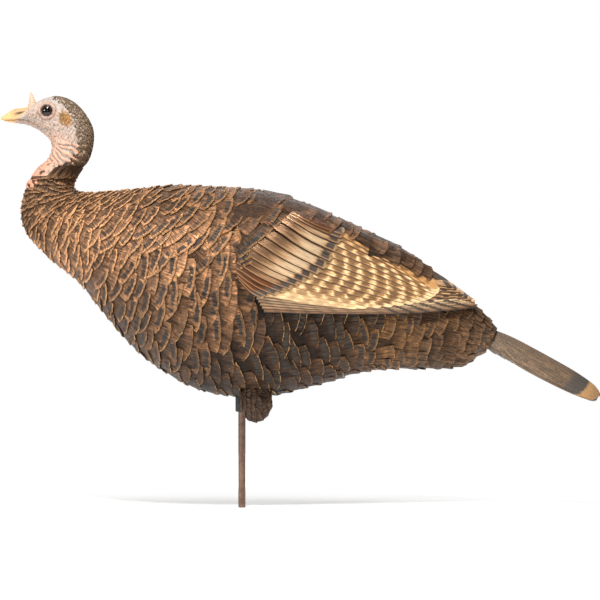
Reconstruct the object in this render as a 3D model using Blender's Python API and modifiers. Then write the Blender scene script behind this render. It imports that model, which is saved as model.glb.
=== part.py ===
"""Hen turkey decoy on a ground stake.

The body is a hollow moulded shell. A head with a neck plug, a tail with a tongue and two
wing panels fit on it. A rubber collar, a receiver tube and a cup under the back carry it
on a stake, whose top has a cap that lets the decoy turn.

Frame: origin at ground level on the stake's axis, +Z up, the beak towards -X, the tail
towards +X, the bird's left side towards -Y. Lengths below are millimetres, and MM turns
them into Blender's metres.
"""
import math

import bmesh
import bpy
import numpy as np
from mathutils import Matrix, Vector

MM = 0.001
GAP = 0.3                  # clearance that pieces which touch keep
TURN_STEPS = 24            # facets round a turned piece
LEFT, RIGHT = -1, 1        # sign of Y on each side

# Body shell: each row is one section, from the neck to the rump.
# back x, back z, belly x, belly z, half width, fullness (wider towards the back when above 0)
BODY_SECTIONS = (
    (-220.5, 436, -277.5, 436, 28.5, 0.00),
    (-220.5, 431, -277.9, 431, 28.6, 0.00),
    (-222.5, 423.5, -284, 420, 31, 0.00),
    (-216, 416, -290, 394, 40, 0.02),
    (-192, 415, -284, 364, 54, 0.05),
    (-150, 418, -250, 327, 77, 0.08),
    (-122, 421, -217, 301, 90, 0.10),
    (-92, 424, -194, 273, 101, 0.12),
    (-32, 422, -132, 203, 116, 0.14),
    (32, 416, -56, 157, 117, 0.13),
    (92, 396, 28, 148, 109, 0.11),
    (148, 369, 98, 163, 94, 0.09),
    (204, 342, 166, 182, 77, 0.07),
    (252, 308, 236, 185, 56, 0.05),
    (305, 268, 288, 188, 36, 0.02),
    (337, 237, 322, 207, 20, 0.00),
)
BODY_WALL = 3.2
BODY_RINGS = 32
BODY_SEGMENTS = 32

# Head and neck, from the neck's lower end to the beak's tip.
# back x, back z, front x, front z, half width, fullness
HEAD_SECTIONS = (
    (-220.5, 436.4, -277.5, 436.4, 28.5, 0.0),
    (-212.5, 447.5, -266.5, 449, 26.5, 0.0),
    (-202.5, 460, -255, 461.5, 24, 0.0),
    (-196.5, 480, -251, 480, 22.5, 0.0),
    (-196, 501, -259, 491, 21.5, 0.0),
    (-205, 524, -270, 499.5, 21, 0.0),
    (-223, 539.5, -279, 503.5, 20.5, 0.05),
    (-244, 544, -286, 506, 19, 0.0),
    (-262, 539, -292, 507.5, 16, -0.1),
    (-278, 530.5, -299, 508.5, 12, -0.1),
    (-295, 524.5, -307, 509, 8.5, 0.0),
    (-309, 519.5, -313.5, 510.5, 5, 0.0),
    (-317.5, 515.5, -318.5, 512.5, 1.5, 0.0),
)
HEAD_WALL = 3.0
HEAD_RINGS = 26
HEAD_SEGMENTS = 20
HOLLOW_END = 7.4           # section number at which the hollow ends, short of the beak
SNOOD_BASE = (-278, 529)
SNOOD_TIP_Z = 549
EYE_X, EYE_Z = -257, 523.4
EYE_RADIUS = 7.6
EYE_DEPTH = 4.6            # the eye's centre lies this far inside the cheek

# Neck joint, on a vertical axis.
NECK_X, NECK_Z = -249, 436
PLUG_RADIUS, PLUG_LENGTH = 15.0, 52
PLUG_FLANGE_RADIUS, PLUG_FLANGE_THICKNESS = 22.5, 3.0
SOCKET_BORE, SOCKET_WALL, SOCKET_DEPTH = 16.5, 3.0, 60
SOCKET_FLANGE_RADIUS, SOCKET_FLANGE_THICKNESS = 24.4, 4.0
RING_LOW, RING_HIGH, RING_DEPTH = -36, -27, 1.8

# Stake, collar, tube and cup, on the origin's vertical axis.
STAKE_RADIUS, STAKE_WALL = 4.75, 1.2
STAKE_TOP, STAKE_BOTTOM = 373, -118
POINT_TIP, POINT_SPIGOT = -160, 24
CAP_WALL, CAP_LENGTH = 2.0, 17
TUBE_BORE, TUBE_WALL = 8.0, 2.0
COLLAR_RADIUS, COLLAR_BOTTOM = 8.5, 126.5
COLLAR_NECK_RADIUS, COLLAR_FLANGE_RADIUS = 7.5, 13
CUP_BORE, CUP_RADIUS, CUP_FLANGE_RADIUS = 7.3, 12.6, 20

# Thigh lumps moulded under the belly, one each side of the collar.
LUMP_CENTRE = (19, 30, 143)
LUMP_RADII = (21, 14.5, 28.5)

# Wing panels, drawn as seen from the side (x, z) and laid on the body.
WING_FRONT = ((66, 393), (27, 344), (11, 324), (27, 271))
WING_TOP = ((66, 393), (129, 361), (209, 328), (251, 306), (301, 270))
WING_BOTTOM = ((27, 271), (77, 265), (143, 259), (209, 259), (275, 264))
WING_REAR = ((301, 270), (292, 264), (275, 264))
WING_LENGTHS, WING_WIDTHS = 22, 10
WING_GAP = 1.5             # panel's inner face over the body
WING_LIFT = 4.0            # extra stand-off of the free tips
WING_LIFT_START, WING_LIFT_LENGTH = 100, 160
WING_THICKNESS = 4.0
WING_EDGE_THINNING = 0.3
STUD_SPOTS = {"front": (70, 325), "rear": (165, 300)}
STUD_RADIUS, STUD_HEAD_RADIUS, STUD_HEAD_THICKNESS = 3.0, 6.0, 2.5
STUD_GRIP = 2.0            # depth of the stud in the panel
STUD_INNER_CLEARANCE = 1.2

# Tail, in a frame whose X runs along the tail and whose Z is square to it.
TAIL_ROOT = (330.4, 221.5)
TAIL_SLOPE = math.radians(28)
# distance along, half width, crown height, edge height, underside height, edge thickness
TAIL_SECTIONS = (
    (0, 18, 13.5, 0, -12, 3),
    (28, 26, 15, -9, -8, 3),
    (60, 33, 15, -12, 6, 3),
    (110, 38, 14, -12, 8, 2.5),
    (140, 36, 11, -10, 6.5, 2.2),
    (152, 27, 7.5, -8, 4, 2),
    (158, 13, 3.5, -5, 1, 1.5),
)
TAIL_RINGS, TAIL_ACROSS = 22, 12
ROOF_POWER = 1.8
TONGUE_WIDTH, TONGUE_HEIGHT, TONGUE_UP = 22, 7, 2.5
TONGUE_IN, TONGUE_OUT = -52, 24
TAIL_SOCKET_IN, TAIL_SOCKET_OUT = -54, -6
TAIL_SOCKET_WALL = 2.4
TAIL_FLANGE = (4, 16.6, 12.2)  # thickness, half width and half height of the oval flange

FEATHER_BROWN = (0.21, 0.115, 0.062)
WING_BRONZE = (0.35, 0.19, 0.09)
TAIL_GREY = (0.18, 0.14, 0.09)
SKIN = (0.62, 0.46, 0.38)
BLACK_RUBBER = (0.02, 0.02, 0.02)
WHITE_NYLON = (0.7, 0.7, 0.66)
GREY_PLASTIC = (0.16, 0.15, 0.14)
STAKE_BROWN = (0.17, 0.09, 0.055)


# ---------------------------------------------------------------- scene and materials

def clear_scene():
    for item in list(bpy.data.objects):
        bpy.data.objects.remove(item)


def make_collection(name):
    collection = bpy.data.collections.new(name)
    bpy.context.scene.collection.children.link(collection)
    return collection


def make_material(name, colour, roughness, metallic=0.0):
    material = bpy.data.materials.new(name)
    material.use_nodes = True
    shader = material.node_tree.nodes["Principled BSDF"]
    shader.inputs["Base Color"].default_value = (*colour, 1.0)
    shader.inputs["Roughness"].default_value = roughness
    shader.inputs["Metallic"].default_value = metallic
    return material


def add_object(name, mesh, collection, material=None, smooth_angle=None):
    item = bpy.data.objects.new(name, mesh)
    collection.objects.link(item)
    if material:
        mesh.materials.append(material)
    if smooth_angle:
        mesh.shade_smooth()
        mesh.set_sharp_from_angle(angle=math.radians(smooth_angle))
    return item


def add_cutter(name, mesh, cutters):
    item = add_object(name, mesh, cutters)
    item.hide_render = True
    item.display_type = "WIRE"
    return item


def combine(target, tool, operation):
    modifier = target.modifiers.new(operation.lower() + "_" + tool.name, "BOOLEAN")
    modifier.operation = operation
    modifier.solver = "EXACT"
    modifier.object = tool


# ---------------------------------------------------------------- shape tools

def on_curve(points, place):
    """Catmull-Rom curve through the points. place counts points from 0."""
    points = np.asarray(points, float)
    last = len(points) - 1
    start = min(int(place), last - 1)
    t = place - start
    p0 = points[max(start - 1, 0)]
    p1 = points[start]
    p2 = points[start + 1]
    p3 = points[min(start + 2, last)]
    cubic = -p0 + 3 * p1 - 3 * p2 + p3
    square = 2 * p0 - 5 * p1 + 4 * p2 - p3
    return 0.5 * (2 * p1 + (p2 - p0) * t + square * t ** 2 + cubic * t ** 3)


def along_curve(points, fraction):
    """Point of the curve at a fraction of its length."""
    last = len(points) - 1
    places = np.linspace(0, last, 20 * last + 1)
    line = np.array([on_curve(points, place) for place in places])
    lengths = np.linalg.norm(np.diff(line, axis=0), axis=1)
    reached = np.concatenate([[0], np.cumsum(lengths)])
    return on_curve(points, np.interp(fraction * reached[-1], reached, places))


def section_point(section, angle, inset=0.0):
    """Point of a section at an angle from the back, over the right side to the belly."""
    back = Vector((section[0], 0, section[1]))
    belly = Vector((section[2], 0, section[3]))
    centre = (back + belly) / 2
    reach = (back - belly) / 2
    reach -= reach.normalized() * inset
    half_width = (section[4] - inset) * (1 + section[5] * math.cos(angle))
    return centre + reach * math.cos(angle) + Vector((0, half_width * math.sin(angle), 0))


def locate(sections, x, z):
    """Section number and angle of the surface point that the side view shows at x, z."""
    low, high = 0.0, len(sections) - 1.0

    def side_of(place):
        row = on_curve(sections, place)
        return (row[0] - row[2]) * (z - row[3]) - (row[1] - row[3]) * (x - row[2])

    start_sign = side_of(low) > 0
    for _ in range(40):
        middle = (low + high) / 2
        if (side_of(middle) > 0) == start_sign:
            low = middle
        else:
            high = middle
    row = on_curve(sections, low)
    centre = Vector(((row[0] + row[2]) / 2, (row[1] + row[3]) / 2))
    reach = Vector((row[0] - row[2], row[1] - row[3])) / 2
    share = (Vector((x, z)) - centre).dot(reach) / reach.length_squared
    return low, math.acos(max(-1.0, min(1.0, share)))


def side_point(sections, x, z, side, offset=0.0):
    """Point on one side of the body at x, z, moved out along the surface's normal."""
    place, angle = locate(sections, x, z)
    step = 0.01

    def at(place_step, angle_step):
        return section_point(on_curve(sections, place + place_step), angle + angle_step)

    along = at(step, 0) - at(-step, 0)
    across = at(0, step) - at(0, -step)
    normal = along.cross(across).normalized()
    if normal.y < 0:
        normal.negate()
    point = at(0, 0) + normal * offset
    flip = Vector((1, side, 1))
    return point * flip, normal * flip


def ring_points(sections, place, segments, inset=0.0):
    section = on_curve(sections, place)
    return [section_point(section, 2 * math.pi * k / segments, inset) for k in range(segments)]


def loft(name, rings, closed=True):
    """Skin over rings with the same number of points, with end faces when closed."""
    frame = bmesh.new()
    rows = [[frame.verts.new(point * MM) for point in ring] for ring in rings]
    count = len(rows[0])
    for row, following in zip(rows, rows[1:]):
        for k in range(count):
            n = (k + 1) % count
            frame.faces.new((row[k], row[n], following[n], following[k]))
    if closed:
        frame.faces.new(rows[0])
        frame.faces.new(rows[-1])
    bmesh.ops.recalc_face_normals(frame, faces=frame.faces)
    return to_mesh(name, frame)


def to_mesh(name, frame):
    mesh = bpy.data.meshes.new(name)
    frame.to_mesh(mesh)
    frame.free()
    return mesh


def box(name, low, high):
    frame = bmesh.new()
    size = [b - a for a, b in zip(low, high)]
    centre = [(a + b) / 2 for a, b in zip(low, high)]
    grown = Matrix.Diagonal((size[0] * MM, size[1] * MM, size[2] * MM, 1))
    bmesh.ops.create_cube(frame, size=1, matrix=Matrix.Translation(Vector(centre) * MM) @ grown)
    return to_mesh(name, frame)


def cylinder(name, radius, low, high, steps=TURN_STEPS):
    frame = bmesh.new()
    middle = Matrix.Translation((0, 0, (low + high) / 2 * MM))
    bmesh.ops.create_cone(frame, cap_ends=True, segments=steps, radius1=radius * MM,
                          radius2=radius * MM, depth=(high - low) * MM, matrix=middle)
    return to_mesh(name, frame)


def ball(name, radii, steps=18):
    frame = bmesh.new()
    scale = Matrix.Diagonal((*[radius * MM for radius in radii], 1))
    bmesh.ops.create_uvsphere(frame, u_segments=steps, v_segments=steps // 2 + 2,
                              radius=1, matrix=scale)
    return to_mesh(name, frame)


def turned(name, profile, collection, material, place=(0, 0, 0), steps=TURN_STEPS):
    """Solid of revolution. profile runs down the outer side as (radius, height)."""
    mesh = bpy.data.meshes.new(name)
    points = [(radius * MM, 0, height * MM) for radius, height in profile]
    edges = [(k, k + 1) for k in range(len(points) - 1)]
    if profile[0][0] > 0:
        edges.append((len(points) - 1, 0))
    mesh.from_pydata(points, edges, [])
    item = add_object(name, mesh, collection, material)
    item.location = Vector(place) * MM
    screw = item.modifiers.new("turn", "SCREW")
    screw.steps = steps
    screw.render_steps = steps
    screw.use_merge_vertices = True
    screw.merge_threshold = 0.00001
    screw.use_smooth_shade = False
    return item


# ---------------------------------------------------------------- body

def edge_height(column, x):
    """Height of the body's back (column 0) or belly (column 2) line at x."""
    places = np.linspace(0, len(BODY_SECTIONS) - 1, 2001)
    rows = np.array([on_curve(BODY_SECTIONS, place) for place in places])
    return float(np.interp(x, rows[:, column], rows[:, column + 1]))


def body_shell(collection, cutters, material):
    places = np.linspace(0, len(BODY_SECTIONS) - 1, BODY_RINGS)
    rings = [ring_points(BODY_SECTIONS, place, BODY_SEGMENTS) for place in places]
    shell = add_object("body_shell", loft("body_shell", rings, closed=False), collection,
                       material, smooth_angle=40)
    wall = shell.modifiers.new("wall", "SOLIDIFY")
    wall.thickness = BODY_WALL * MM
    wall.offset = -1
    for side in (LEFT, RIGHT):
        lump = add_cutter("lump", ball("lump", LUMP_RADII), cutters)
        lump.location = Vector((LUMP_CENTRE[0], side * LUMP_CENTRE[1], LUMP_CENTRE[2])) * MM
        combine(shell, lump, "UNION")
    belly = edge_height(2, 0)
    hole = cylinder("stake_hole", COLLAR_NECK_RADIUS + GAP, belly - 20, belly + 20)
    combine(shell, add_cutter("stake_hole", hole, cutters), "DIFFERENCE")
    return shell


def receiver(collection, cutters, rubber, nylon, plastic):
    """Collar, tube and cup that hold the body on the stake, and the cap on the stake."""
    belly = edge_height(2, 0)
    back = edge_height(0, 0) - BODY_WALL
    flange_low = belly + BODY_WALL + 3.4
    flange_high = flange_low + 3.3
    collar_high = belly - 1.2
    bore = STAKE_RADIUS + GAP
    spigot = TUBE_BORE - GAP
    turned("stake_collar", (
        (spigot, flange_high + 10), (spigot, flange_high),
        (COLLAR_FLANGE_RADIUS, flange_high), (COLLAR_FLANGE_RADIUS, flange_low),
        (COLLAR_NECK_RADIUS, flange_low), (COLLAR_NECK_RADIUS, collar_high),
        (COLLAR_RADIUS, collar_high), (COLLAR_RADIUS, COLLAR_BOTTOM + 1.5),
        (COLLAR_RADIUS - 1.2, COLLAR_BOTTOM), (bore, COLLAR_BOTTOM), (bore, flange_high + 10),
    ), collection, rubber)

    cap_top = STAKE_TOP + GAP + CAP_WALL + 2.5
    cap_radius = bore + CAP_WALL
    turned("pivot_cap", (
        (0, cap_top), (cap_radius - 2.5, cap_top), (cap_radius, cap_top - 2.5),
        (cap_radius, cap_top - CAP_LENGTH - 5), (bore, cap_top - CAP_LENGTH - 5),
        (bore, STAKE_TOP + GAP), (0, STAKE_TOP + GAP),
    ), collection, nylon)

    tube_outer = TUBE_BORE + TUBE_WALL
    tube_top = cap_top - CAP_LENGTH - 7
    turned("stake_tube", (
        (tube_outer, tube_top), (tube_outer, flange_high + GAP),
        (TUBE_BORE, flange_high + GAP), (TUBE_BORE, tube_top),
    ), collection, plastic)

    top = back - 3.8
    shoulder = tube_top + GAP
    skirt = tube_outer + GAP
    turned("back_cup", (
        (0, top), (CUP_FLANGE_RADIUS, top), (CUP_FLANGE_RADIUS, top - 3),
        (CUP_RADIUS, top - 9), (CUP_RADIUS, shoulder - 14), (skirt, shoulder - 14),
        (skirt, shoulder), (CUP_BORE + GAP, shoulder), (CUP_BORE + GAP, cap_top + GAP),
        (0, cap_top + GAP),
    ), collection, plastic)


def stake(collection, paint):
    turned("stake_rod", (
        (STAKE_RADIUS, STAKE_TOP), (STAKE_RADIUS, STAKE_BOTTOM),
        (STAKE_RADIUS - STAKE_WALL, STAKE_BOTTOM), (STAKE_RADIUS - STAKE_WALL, STAKE_TOP),
    ), collection, paint)
    inner = STAKE_RADIUS - STAKE_WALL - GAP
    turned("stake_point", (
        (0, STAKE_BOTTOM + POINT_SPIGOT), (inner, STAKE_BOTTOM + POINT_SPIGOT),
        (inner, STAKE_BOTTOM - GAP), (STAKE_RADIUS, STAKE_BOTTOM - GAP),
        (STAKE_RADIUS, STAKE_BOTTOM - 7), (0.6, POINT_TIP), (0, POINT_TIP),
    ), collection, paint)


# ---------------------------------------------------------------- head and neck joint

def head_ring(place, inset=0.0):
    return ring_points(HEAD_SECTIONS, place, HEAD_SEGMENTS, inset)


def head_shell(collection, cutters, skin, glass):
    last = len(HEAD_SECTIONS) - 1
    rings = [head_ring(place) for place in np.linspace(0, last, HEAD_RINGS)]
    shell = add_object("head_shell", loft("head_shell", rings), collection, skin,
                       smooth_angle=40)
    inner = [head_ring(place, HEAD_WALL) for place in np.linspace(0, HOLLOW_END, 16)]
    below = [point - Vector((0, 0, 5)) for point in inner[0]]
    hollow = add_cutter("head_hollow", loft("head_hollow", [below] + inner), cutters)
    combine(shell, hollow, "DIFFERENCE")
    combine(shell, snood(cutters), "UNION")
    for side, name in ((LEFT, "eye_left"), (RIGHT, "eye_right")):
        cheek, _ = side_point(HEAD_SECTIONS, EYE_X, EYE_Z, side)
        centre = cheek - Vector((0, side * EYE_DEPTH, 0))
        orbit = add_cutter(name + "_orbit", ball("orbit", (EYE_RADIUS + GAP,) * 3), cutters)
        orbit.location = centre * MM
        combine(shell, orbit, "DIFFERENCE")
        eye = add_object(name, ball(name, (EYE_RADIUS,) * 3), collection, glass, smooth_angle=60)
        eye.location = centre * MM
    return shell


def snood(cutters):
    """Fleshy spike over the beak, a turned cone with a round tip."""
    x, base = SNOOD_BASE
    tip = SNOOD_TIP_Z
    profile = ((0, tip), (1.4, tip - 0.6), (2.4, tip - 2.5), (4, tip - 6), (5, tip - 12), (6.5, base),
               (4, base - 6), (0, base - 8))
    piece = turned("snood_form", profile, cutters, None, place=(x, 0, 0), steps=16)
    piece.hide_render = True
    piece.display_type = "WIRE"
    return piece


def neck_joint(collection, plastic, rubber):
    low = NECK_Z - PLUG_LENGTH
    groove = PLUG_RADIUS - RING_DEPTH
    flange_low = NECK_Z + 0.5
    flange_high = flange_low + PLUG_FLANGE_THICKNESS
    axis = (NECK_X, 0, 0)
    ring_low = NECK_Z + RING_LOW
    ring_high = NECK_Z + RING_HIGH
    turned("neck_plug", (
        (0, flange_high), (PLUG_FLANGE_RADIUS, flange_high), (PLUG_FLANGE_RADIUS, flange_low),
        (PLUG_RADIUS, flange_low), (PLUG_RADIUS, ring_high), (groove, ring_high),
        (groove, ring_low), (PLUG_RADIUS, ring_low), (PLUG_RADIUS, low + 3),
        (PLUG_RADIUS - 3, low), (0, low),
    ), collection, plastic, place=axis)
    turned("neck_friction_ring", (
        (SOCKET_BORE - GAP - 1, ring_high - GAP), (SOCKET_BORE - GAP, ring_high - 2),
        (SOCKET_BORE - GAP, ring_low + 2), (SOCKET_BORE - GAP - 1, ring_low + GAP),
        (groove + GAP, ring_low + GAP), (groove + GAP, ring_high - GAP),
    ), collection, rubber, place=axis)
    socket_outer = SOCKET_BORE + SOCKET_WALL
    rim = NECK_Z - 0.2
    turned("neck_socket", (
        (SOCKET_FLANGE_RADIUS, rim), (SOCKET_FLANGE_RADIUS, rim - SOCKET_FLANGE_THICKNESS),
        (socket_outer, rim - SOCKET_FLANGE_THICKNESS - 3), (socket_outer, NECK_Z - SOCKET_DEPTH),
        (SOCKET_BORE, NECK_Z - SOCKET_DEPTH), (SOCKET_BORE, rim),
    ), collection, plastic, place=axis)


# ---------------------------------------------------------------- wings

def wing_offset(x):
    rise = max(0.0, min(1.0, (x - WING_LIFT_START) / WING_LIFT_LENGTH))
    return WING_GAP + WING_LIFT * rise ** 2


def wing_spot(u, v):
    """Side-view point of the panel: u runs from the front to the tips, v from top to bottom."""
    top, bottom = along_curve(WING_TOP, u), along_curve(WING_BOTTOM, u)
    front, rear = along_curve(WING_FRONT, v), along_curve(WING_REAR, v)
    corners = ((1 - u) * (1 - v) * np.array(WING_TOP[0]) + u * (1 - v) * np.array(WING_TOP[-1])
               + (1 - u) * v * np.array(WING_BOTTOM[0]) + u * v * np.array(WING_BOTTOM[-1]))
    return (1 - v) * top + v * bottom + (1 - u) * front + u * rear - corners


def wing_panel(name, side, collection, material):
    frame = bmesh.new()
    layer = frame.verts.layers.deform.verify()
    grid = []
    for i in range(WING_LENGTHS + 1):
        row = []
        for j in range(WING_WIDTHS + 1):
            u, v = i / WING_LENGTHS, j / WING_WIDTHS
            x, z = wing_spot(u, v)
            point, _ = side_point(BODY_SECTIONS, x, z, side, wing_offset(x))
            vertex = frame.verts.new(point * MM)
            edge_distance = min(u * 5, v * 4, (1 - v) * 4, (1 - u) * 5, 1.0)
            vertex[layer][0] = WING_EDGE_THINNING + (1 - WING_EDGE_THINNING) * edge_distance
            row.append(vertex)
        grid.append(row)
    for row, following in zip(grid, grid[1:]):
        for j in range(WING_WIDTHS):
            corners = (row[j], row[j + 1], following[j + 1], following[j])
            frame.faces.new(corners if side == LEFT else corners[::-1])
    panel = add_object(name, to_mesh(name, frame), collection, material, smooth_angle=40)
    panel.vertex_groups.new(name="thickness")
    wall = panel.modifiers.new("wall", "SOLIDIFY")
    wall.thickness = WING_THICKNESS * MM
    wall.offset = 1
    wall.vertex_group = "thickness"
    return panel


def wing_studs(side_name, side, shell, panel, collection, cutters, plastic):
    for spot_name, (x, z) in STUD_SPOTS.items():
        name = f"wing_stud_{side_name}_{spot_name}"
        point, normal = side_point(BODY_SECTIONS, x, z, side)
        turn = normal.to_track_quat("Z", "Y")
        tip = wing_offset(x) + STUD_GRIP
        seat = -BODY_WALL - STUD_INNER_CLEARANCE
        stud = turned(name, (
            (0, tip), (STUD_RADIUS - 0.6, tip), (STUD_RADIUS, tip - 0.6), (STUD_RADIUS, seat),
            (STUD_HEAD_RADIUS, seat), (STUD_HEAD_RADIUS, seat - STUD_HEAD_THICKNESS),
            (0, seat - STUD_HEAD_THICKNESS),
        ), collection, plastic, steps=16)
        hole = cylinder(name + "_hole", STUD_RADIUS + GAP, seat - 2, tip + GAP, steps=16)
        drill = add_cutter(name + "_hole", hole, cutters)
        for item in (stud, drill):
            item.location = point * MM
            item.rotation_mode = "QUATERNION"
            item.rotation_quaternion = turn
        combine(shell, drill, "DIFFERENCE")
        combine(panel, drill, "DIFFERENCE")


# ---------------------------------------------------------------- tail

def tail_ring(place):
    """Closed arched section: over the roof from one edge to the other, back underneath."""
    along, half_width, crown, edge, underside, rim = on_curve(TAIL_SECTIONS, place)
    across = np.cos(np.linspace(math.pi, 0, TAIL_ACROSS + 1))
    arch = 1 - np.abs(across) ** ROOF_POWER
    over = [Vector((along, half_width * c, edge + (crown - edge) * a))
            for c, a in zip(across, arch)]
    low_edge = edge - rim
    under = [Vector((along, half_width * c, low_edge + (underside - low_edge) * a))
             for c, a in zip(across[::-1], arch[::-1])]
    return over + under


def tail(collection, cutters, material, plastic):
    guide = bpy.data.objects.new("tail_axis", None)
    collection.objects.link(guide)
    guide.location = Vector((TAIL_ROOT[0], 0, TAIL_ROOT[1])) * MM
    guide.rotation_euler = (0, TAIL_SLOPE, 0)

    rings = [tail_ring(place) for place in np.linspace(0, len(TAIL_SECTIONS) - 1, TAIL_RINGS)]
    fan = add_object("tail_fan", loft("tail_fan", rings), collection, material, smooth_angle=40)

    half, low = TONGUE_WIDTH / 2, TONGUE_UP - TONGUE_HEIGHT / 2
    high = low + TONGUE_HEIGHT
    tongue = add_object("tail_tongue", box("tail_tongue", (TONGUE_IN, -half, low),
                                           (TONGUE_OUT, half, high)), collection, plastic)
    bevel = tongue.modifiers.new("edges", "BEVEL")
    bevel.width = 0.8 * MM
    bevel.segments = 2

    slot = box("tongue_slot", (TAIL_SOCKET_IN - 5, -half - GAP, low - GAP),
               (TONGUE_OUT + GAP, half + GAP, high + GAP))
    slot_cutter = add_cutter("tongue_slot", slot, cutters)
    combine(fan, slot_cutter, "DIFFERENCE")

    wall = TAIL_SOCKET_WALL
    sleeve = box("tail_socket", (TAIL_SOCKET_IN, -half - wall, low - wall),
                 (TAIL_SOCKET_OUT, half + wall, high + wall))
    socket = add_object("tail_socket", sleeve, collection, plastic)
    thickness, flange_width, flange_height = TAIL_FLANGE
    flange = add_cutter("tail_flange", cylinder("tail_flange", 1, 0, thickness), cutters)
    flange.data.transform(Matrix.Diagonal((flange_height, flange_width, 1, 1)))
    flange.data.transform(Matrix.Rotation(math.radians(90), 4, "Y"))
    flange.location = Vector((TAIL_SOCKET_OUT - thickness - 2, 0, TONGUE_UP)) * MM
    combine(socket, flange, "UNION")
    combine(socket, slot_cutter, "DIFFERENCE")
    for item in (fan, tongue, socket, slot_cutter, flange):
        item.parent = guide


# ---------------------------------------------------------------- assembly

def build():
    clear_scene()
    decoy = make_collection("turkey_decoy")
    cutters = make_collection("cutters")
    feather = make_material("painted_feather", FEATHER_BROWN, 0.5, 0.2)
    bronze = make_material("painted_wing", WING_BRONZE, 0.42, 0.35)
    tail_paint = make_material("painted_tail", TAIL_GREY, 0.55, 0.1)
    skin = make_material("painted_skin", SKIN, 0.55)
    glass = make_material("black_glass", (0.01, 0.01, 0.01), 0.05)
    rubber = make_material("black_rubber", BLACK_RUBBER, 0.75)
    nylon = make_material("white_nylon", WHITE_NYLON, 0.4)
    plastic = make_material("grey_plastic", GREY_PLASTIC, 0.5)
    paint = make_material("brown_stake_paint", STAKE_BROWN, 0.45, 0.3)

    shell = body_shell(decoy, cutters, feather)
    receiver(decoy, cutters, rubber, nylon, plastic)
    stake(decoy, paint)
    head_shell(decoy, cutters, skin, glass)
    neck_joint(decoy, plastic, rubber)
    for side_name, side in (("left", LEFT), ("right", RIGHT)):
        panel = wing_panel(f"wing_{side_name}", side, decoy, bronze)
        wing_studs(side_name, side, shell, panel, decoy, cutters, plastic)
    tail(decoy, cutters, tail_paint, plastic)


build()
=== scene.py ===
"""Looks of the hen turkey decoy: moulded feathers, painted wings, tail, head and stake.

The surfaces of the CAD model are repeated here as lofts, in millimetres, and feathers are
laid on them one by one. Every feather carries its own coordinates, which the paint reads.
"""

import math

import bpy
import numpy as np
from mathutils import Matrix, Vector

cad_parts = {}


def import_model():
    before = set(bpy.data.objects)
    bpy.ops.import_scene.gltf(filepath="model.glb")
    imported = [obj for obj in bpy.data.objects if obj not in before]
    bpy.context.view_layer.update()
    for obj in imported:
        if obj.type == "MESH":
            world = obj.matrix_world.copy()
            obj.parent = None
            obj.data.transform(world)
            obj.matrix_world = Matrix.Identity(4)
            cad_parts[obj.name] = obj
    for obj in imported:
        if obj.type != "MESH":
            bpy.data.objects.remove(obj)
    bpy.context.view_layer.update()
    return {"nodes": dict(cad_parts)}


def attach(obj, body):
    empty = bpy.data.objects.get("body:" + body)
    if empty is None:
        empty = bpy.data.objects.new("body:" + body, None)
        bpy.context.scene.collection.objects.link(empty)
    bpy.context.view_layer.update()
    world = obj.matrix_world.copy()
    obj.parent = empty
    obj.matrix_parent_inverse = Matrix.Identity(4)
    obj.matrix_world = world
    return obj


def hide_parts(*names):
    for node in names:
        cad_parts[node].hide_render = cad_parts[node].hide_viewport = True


MM = 0.001
LEFT, RIGHT = -1, 1

# Body, as in the CAD model: back x, back z, belly x, belly z, half width, fullness.
# The last row runs on past the rump, so that the coverts can lie over the tail's root.
BODY_SECTIONS = (
    (-220.5, 436, -277.5, 436, 28.5, 0.00),
    (-220.5, 431, -277.9, 431, 28.6, 0.00),
    (-222.5, 423.5, -284, 420, 31, 0.00),
    (-216, 416, -290, 394, 40, 0.02),
    (-192, 415, -284, 364, 54, 0.05),
    (-150, 418, -250, 327, 77, 0.08),
    (-122, 421, -217, 301, 90, 0.10),
    (-92, 424, -194, 273, 101, 0.12),
    (-32, 422, -132, 203, 116, 0.14),
    (32, 416, -56, 157, 117, 0.13),
    (92, 396, 28, 148, 109, 0.11),
    (148, 369, 98, 163, 94, 0.09),
    (204, 342, 166, 182, 77, 0.07),
    (252, 308, 236, 185, 56, 0.05),
    (305, 268, 288, 188, 36, 0.02),
    (337, 237, 322, 207, 20, 0.00),
    (362, 222, 348, 196, 22, 0.00),
)
RUMP_END = 15.0
# Head and neck from the neck's joint to the beak's tip, in the same form.
HEAD_SECTIONS = (
    (-220.5, 436.4, -277.5, 436.4, 28.5, 0.0),
    (-212.5, 447.5, -266.5, 449, 26.5, 0.0),
    (-202.5, 460, -255, 461.5, 24, 0.0),
    (-196.5, 480, -251, 480, 22.5, 0.0),
    (-197.3, 500.5, -259, 491, 21.5, 0.0),
    (-208.5, 521.5, -270, 499.5, 21, 0.0),
    (-225, 536.6, -279, 503.5, 20.5, 0.05),
    (-244.5, 542.4, -286, 506, 19, 0.0),
    (-262, 539, -292, 507.5, 16, -0.1),
    (-278, 530.5, -299, 508.5, 12, -0.1),
    (-295, 524.5, -307, 509, 8.5, 0.0),
    (-309, 519.5, -313.5, 510.5, 5, 0.0),
    (-317.5, 515.5, -318.5, 512.5, 1.5, 0.0),
)
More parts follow.
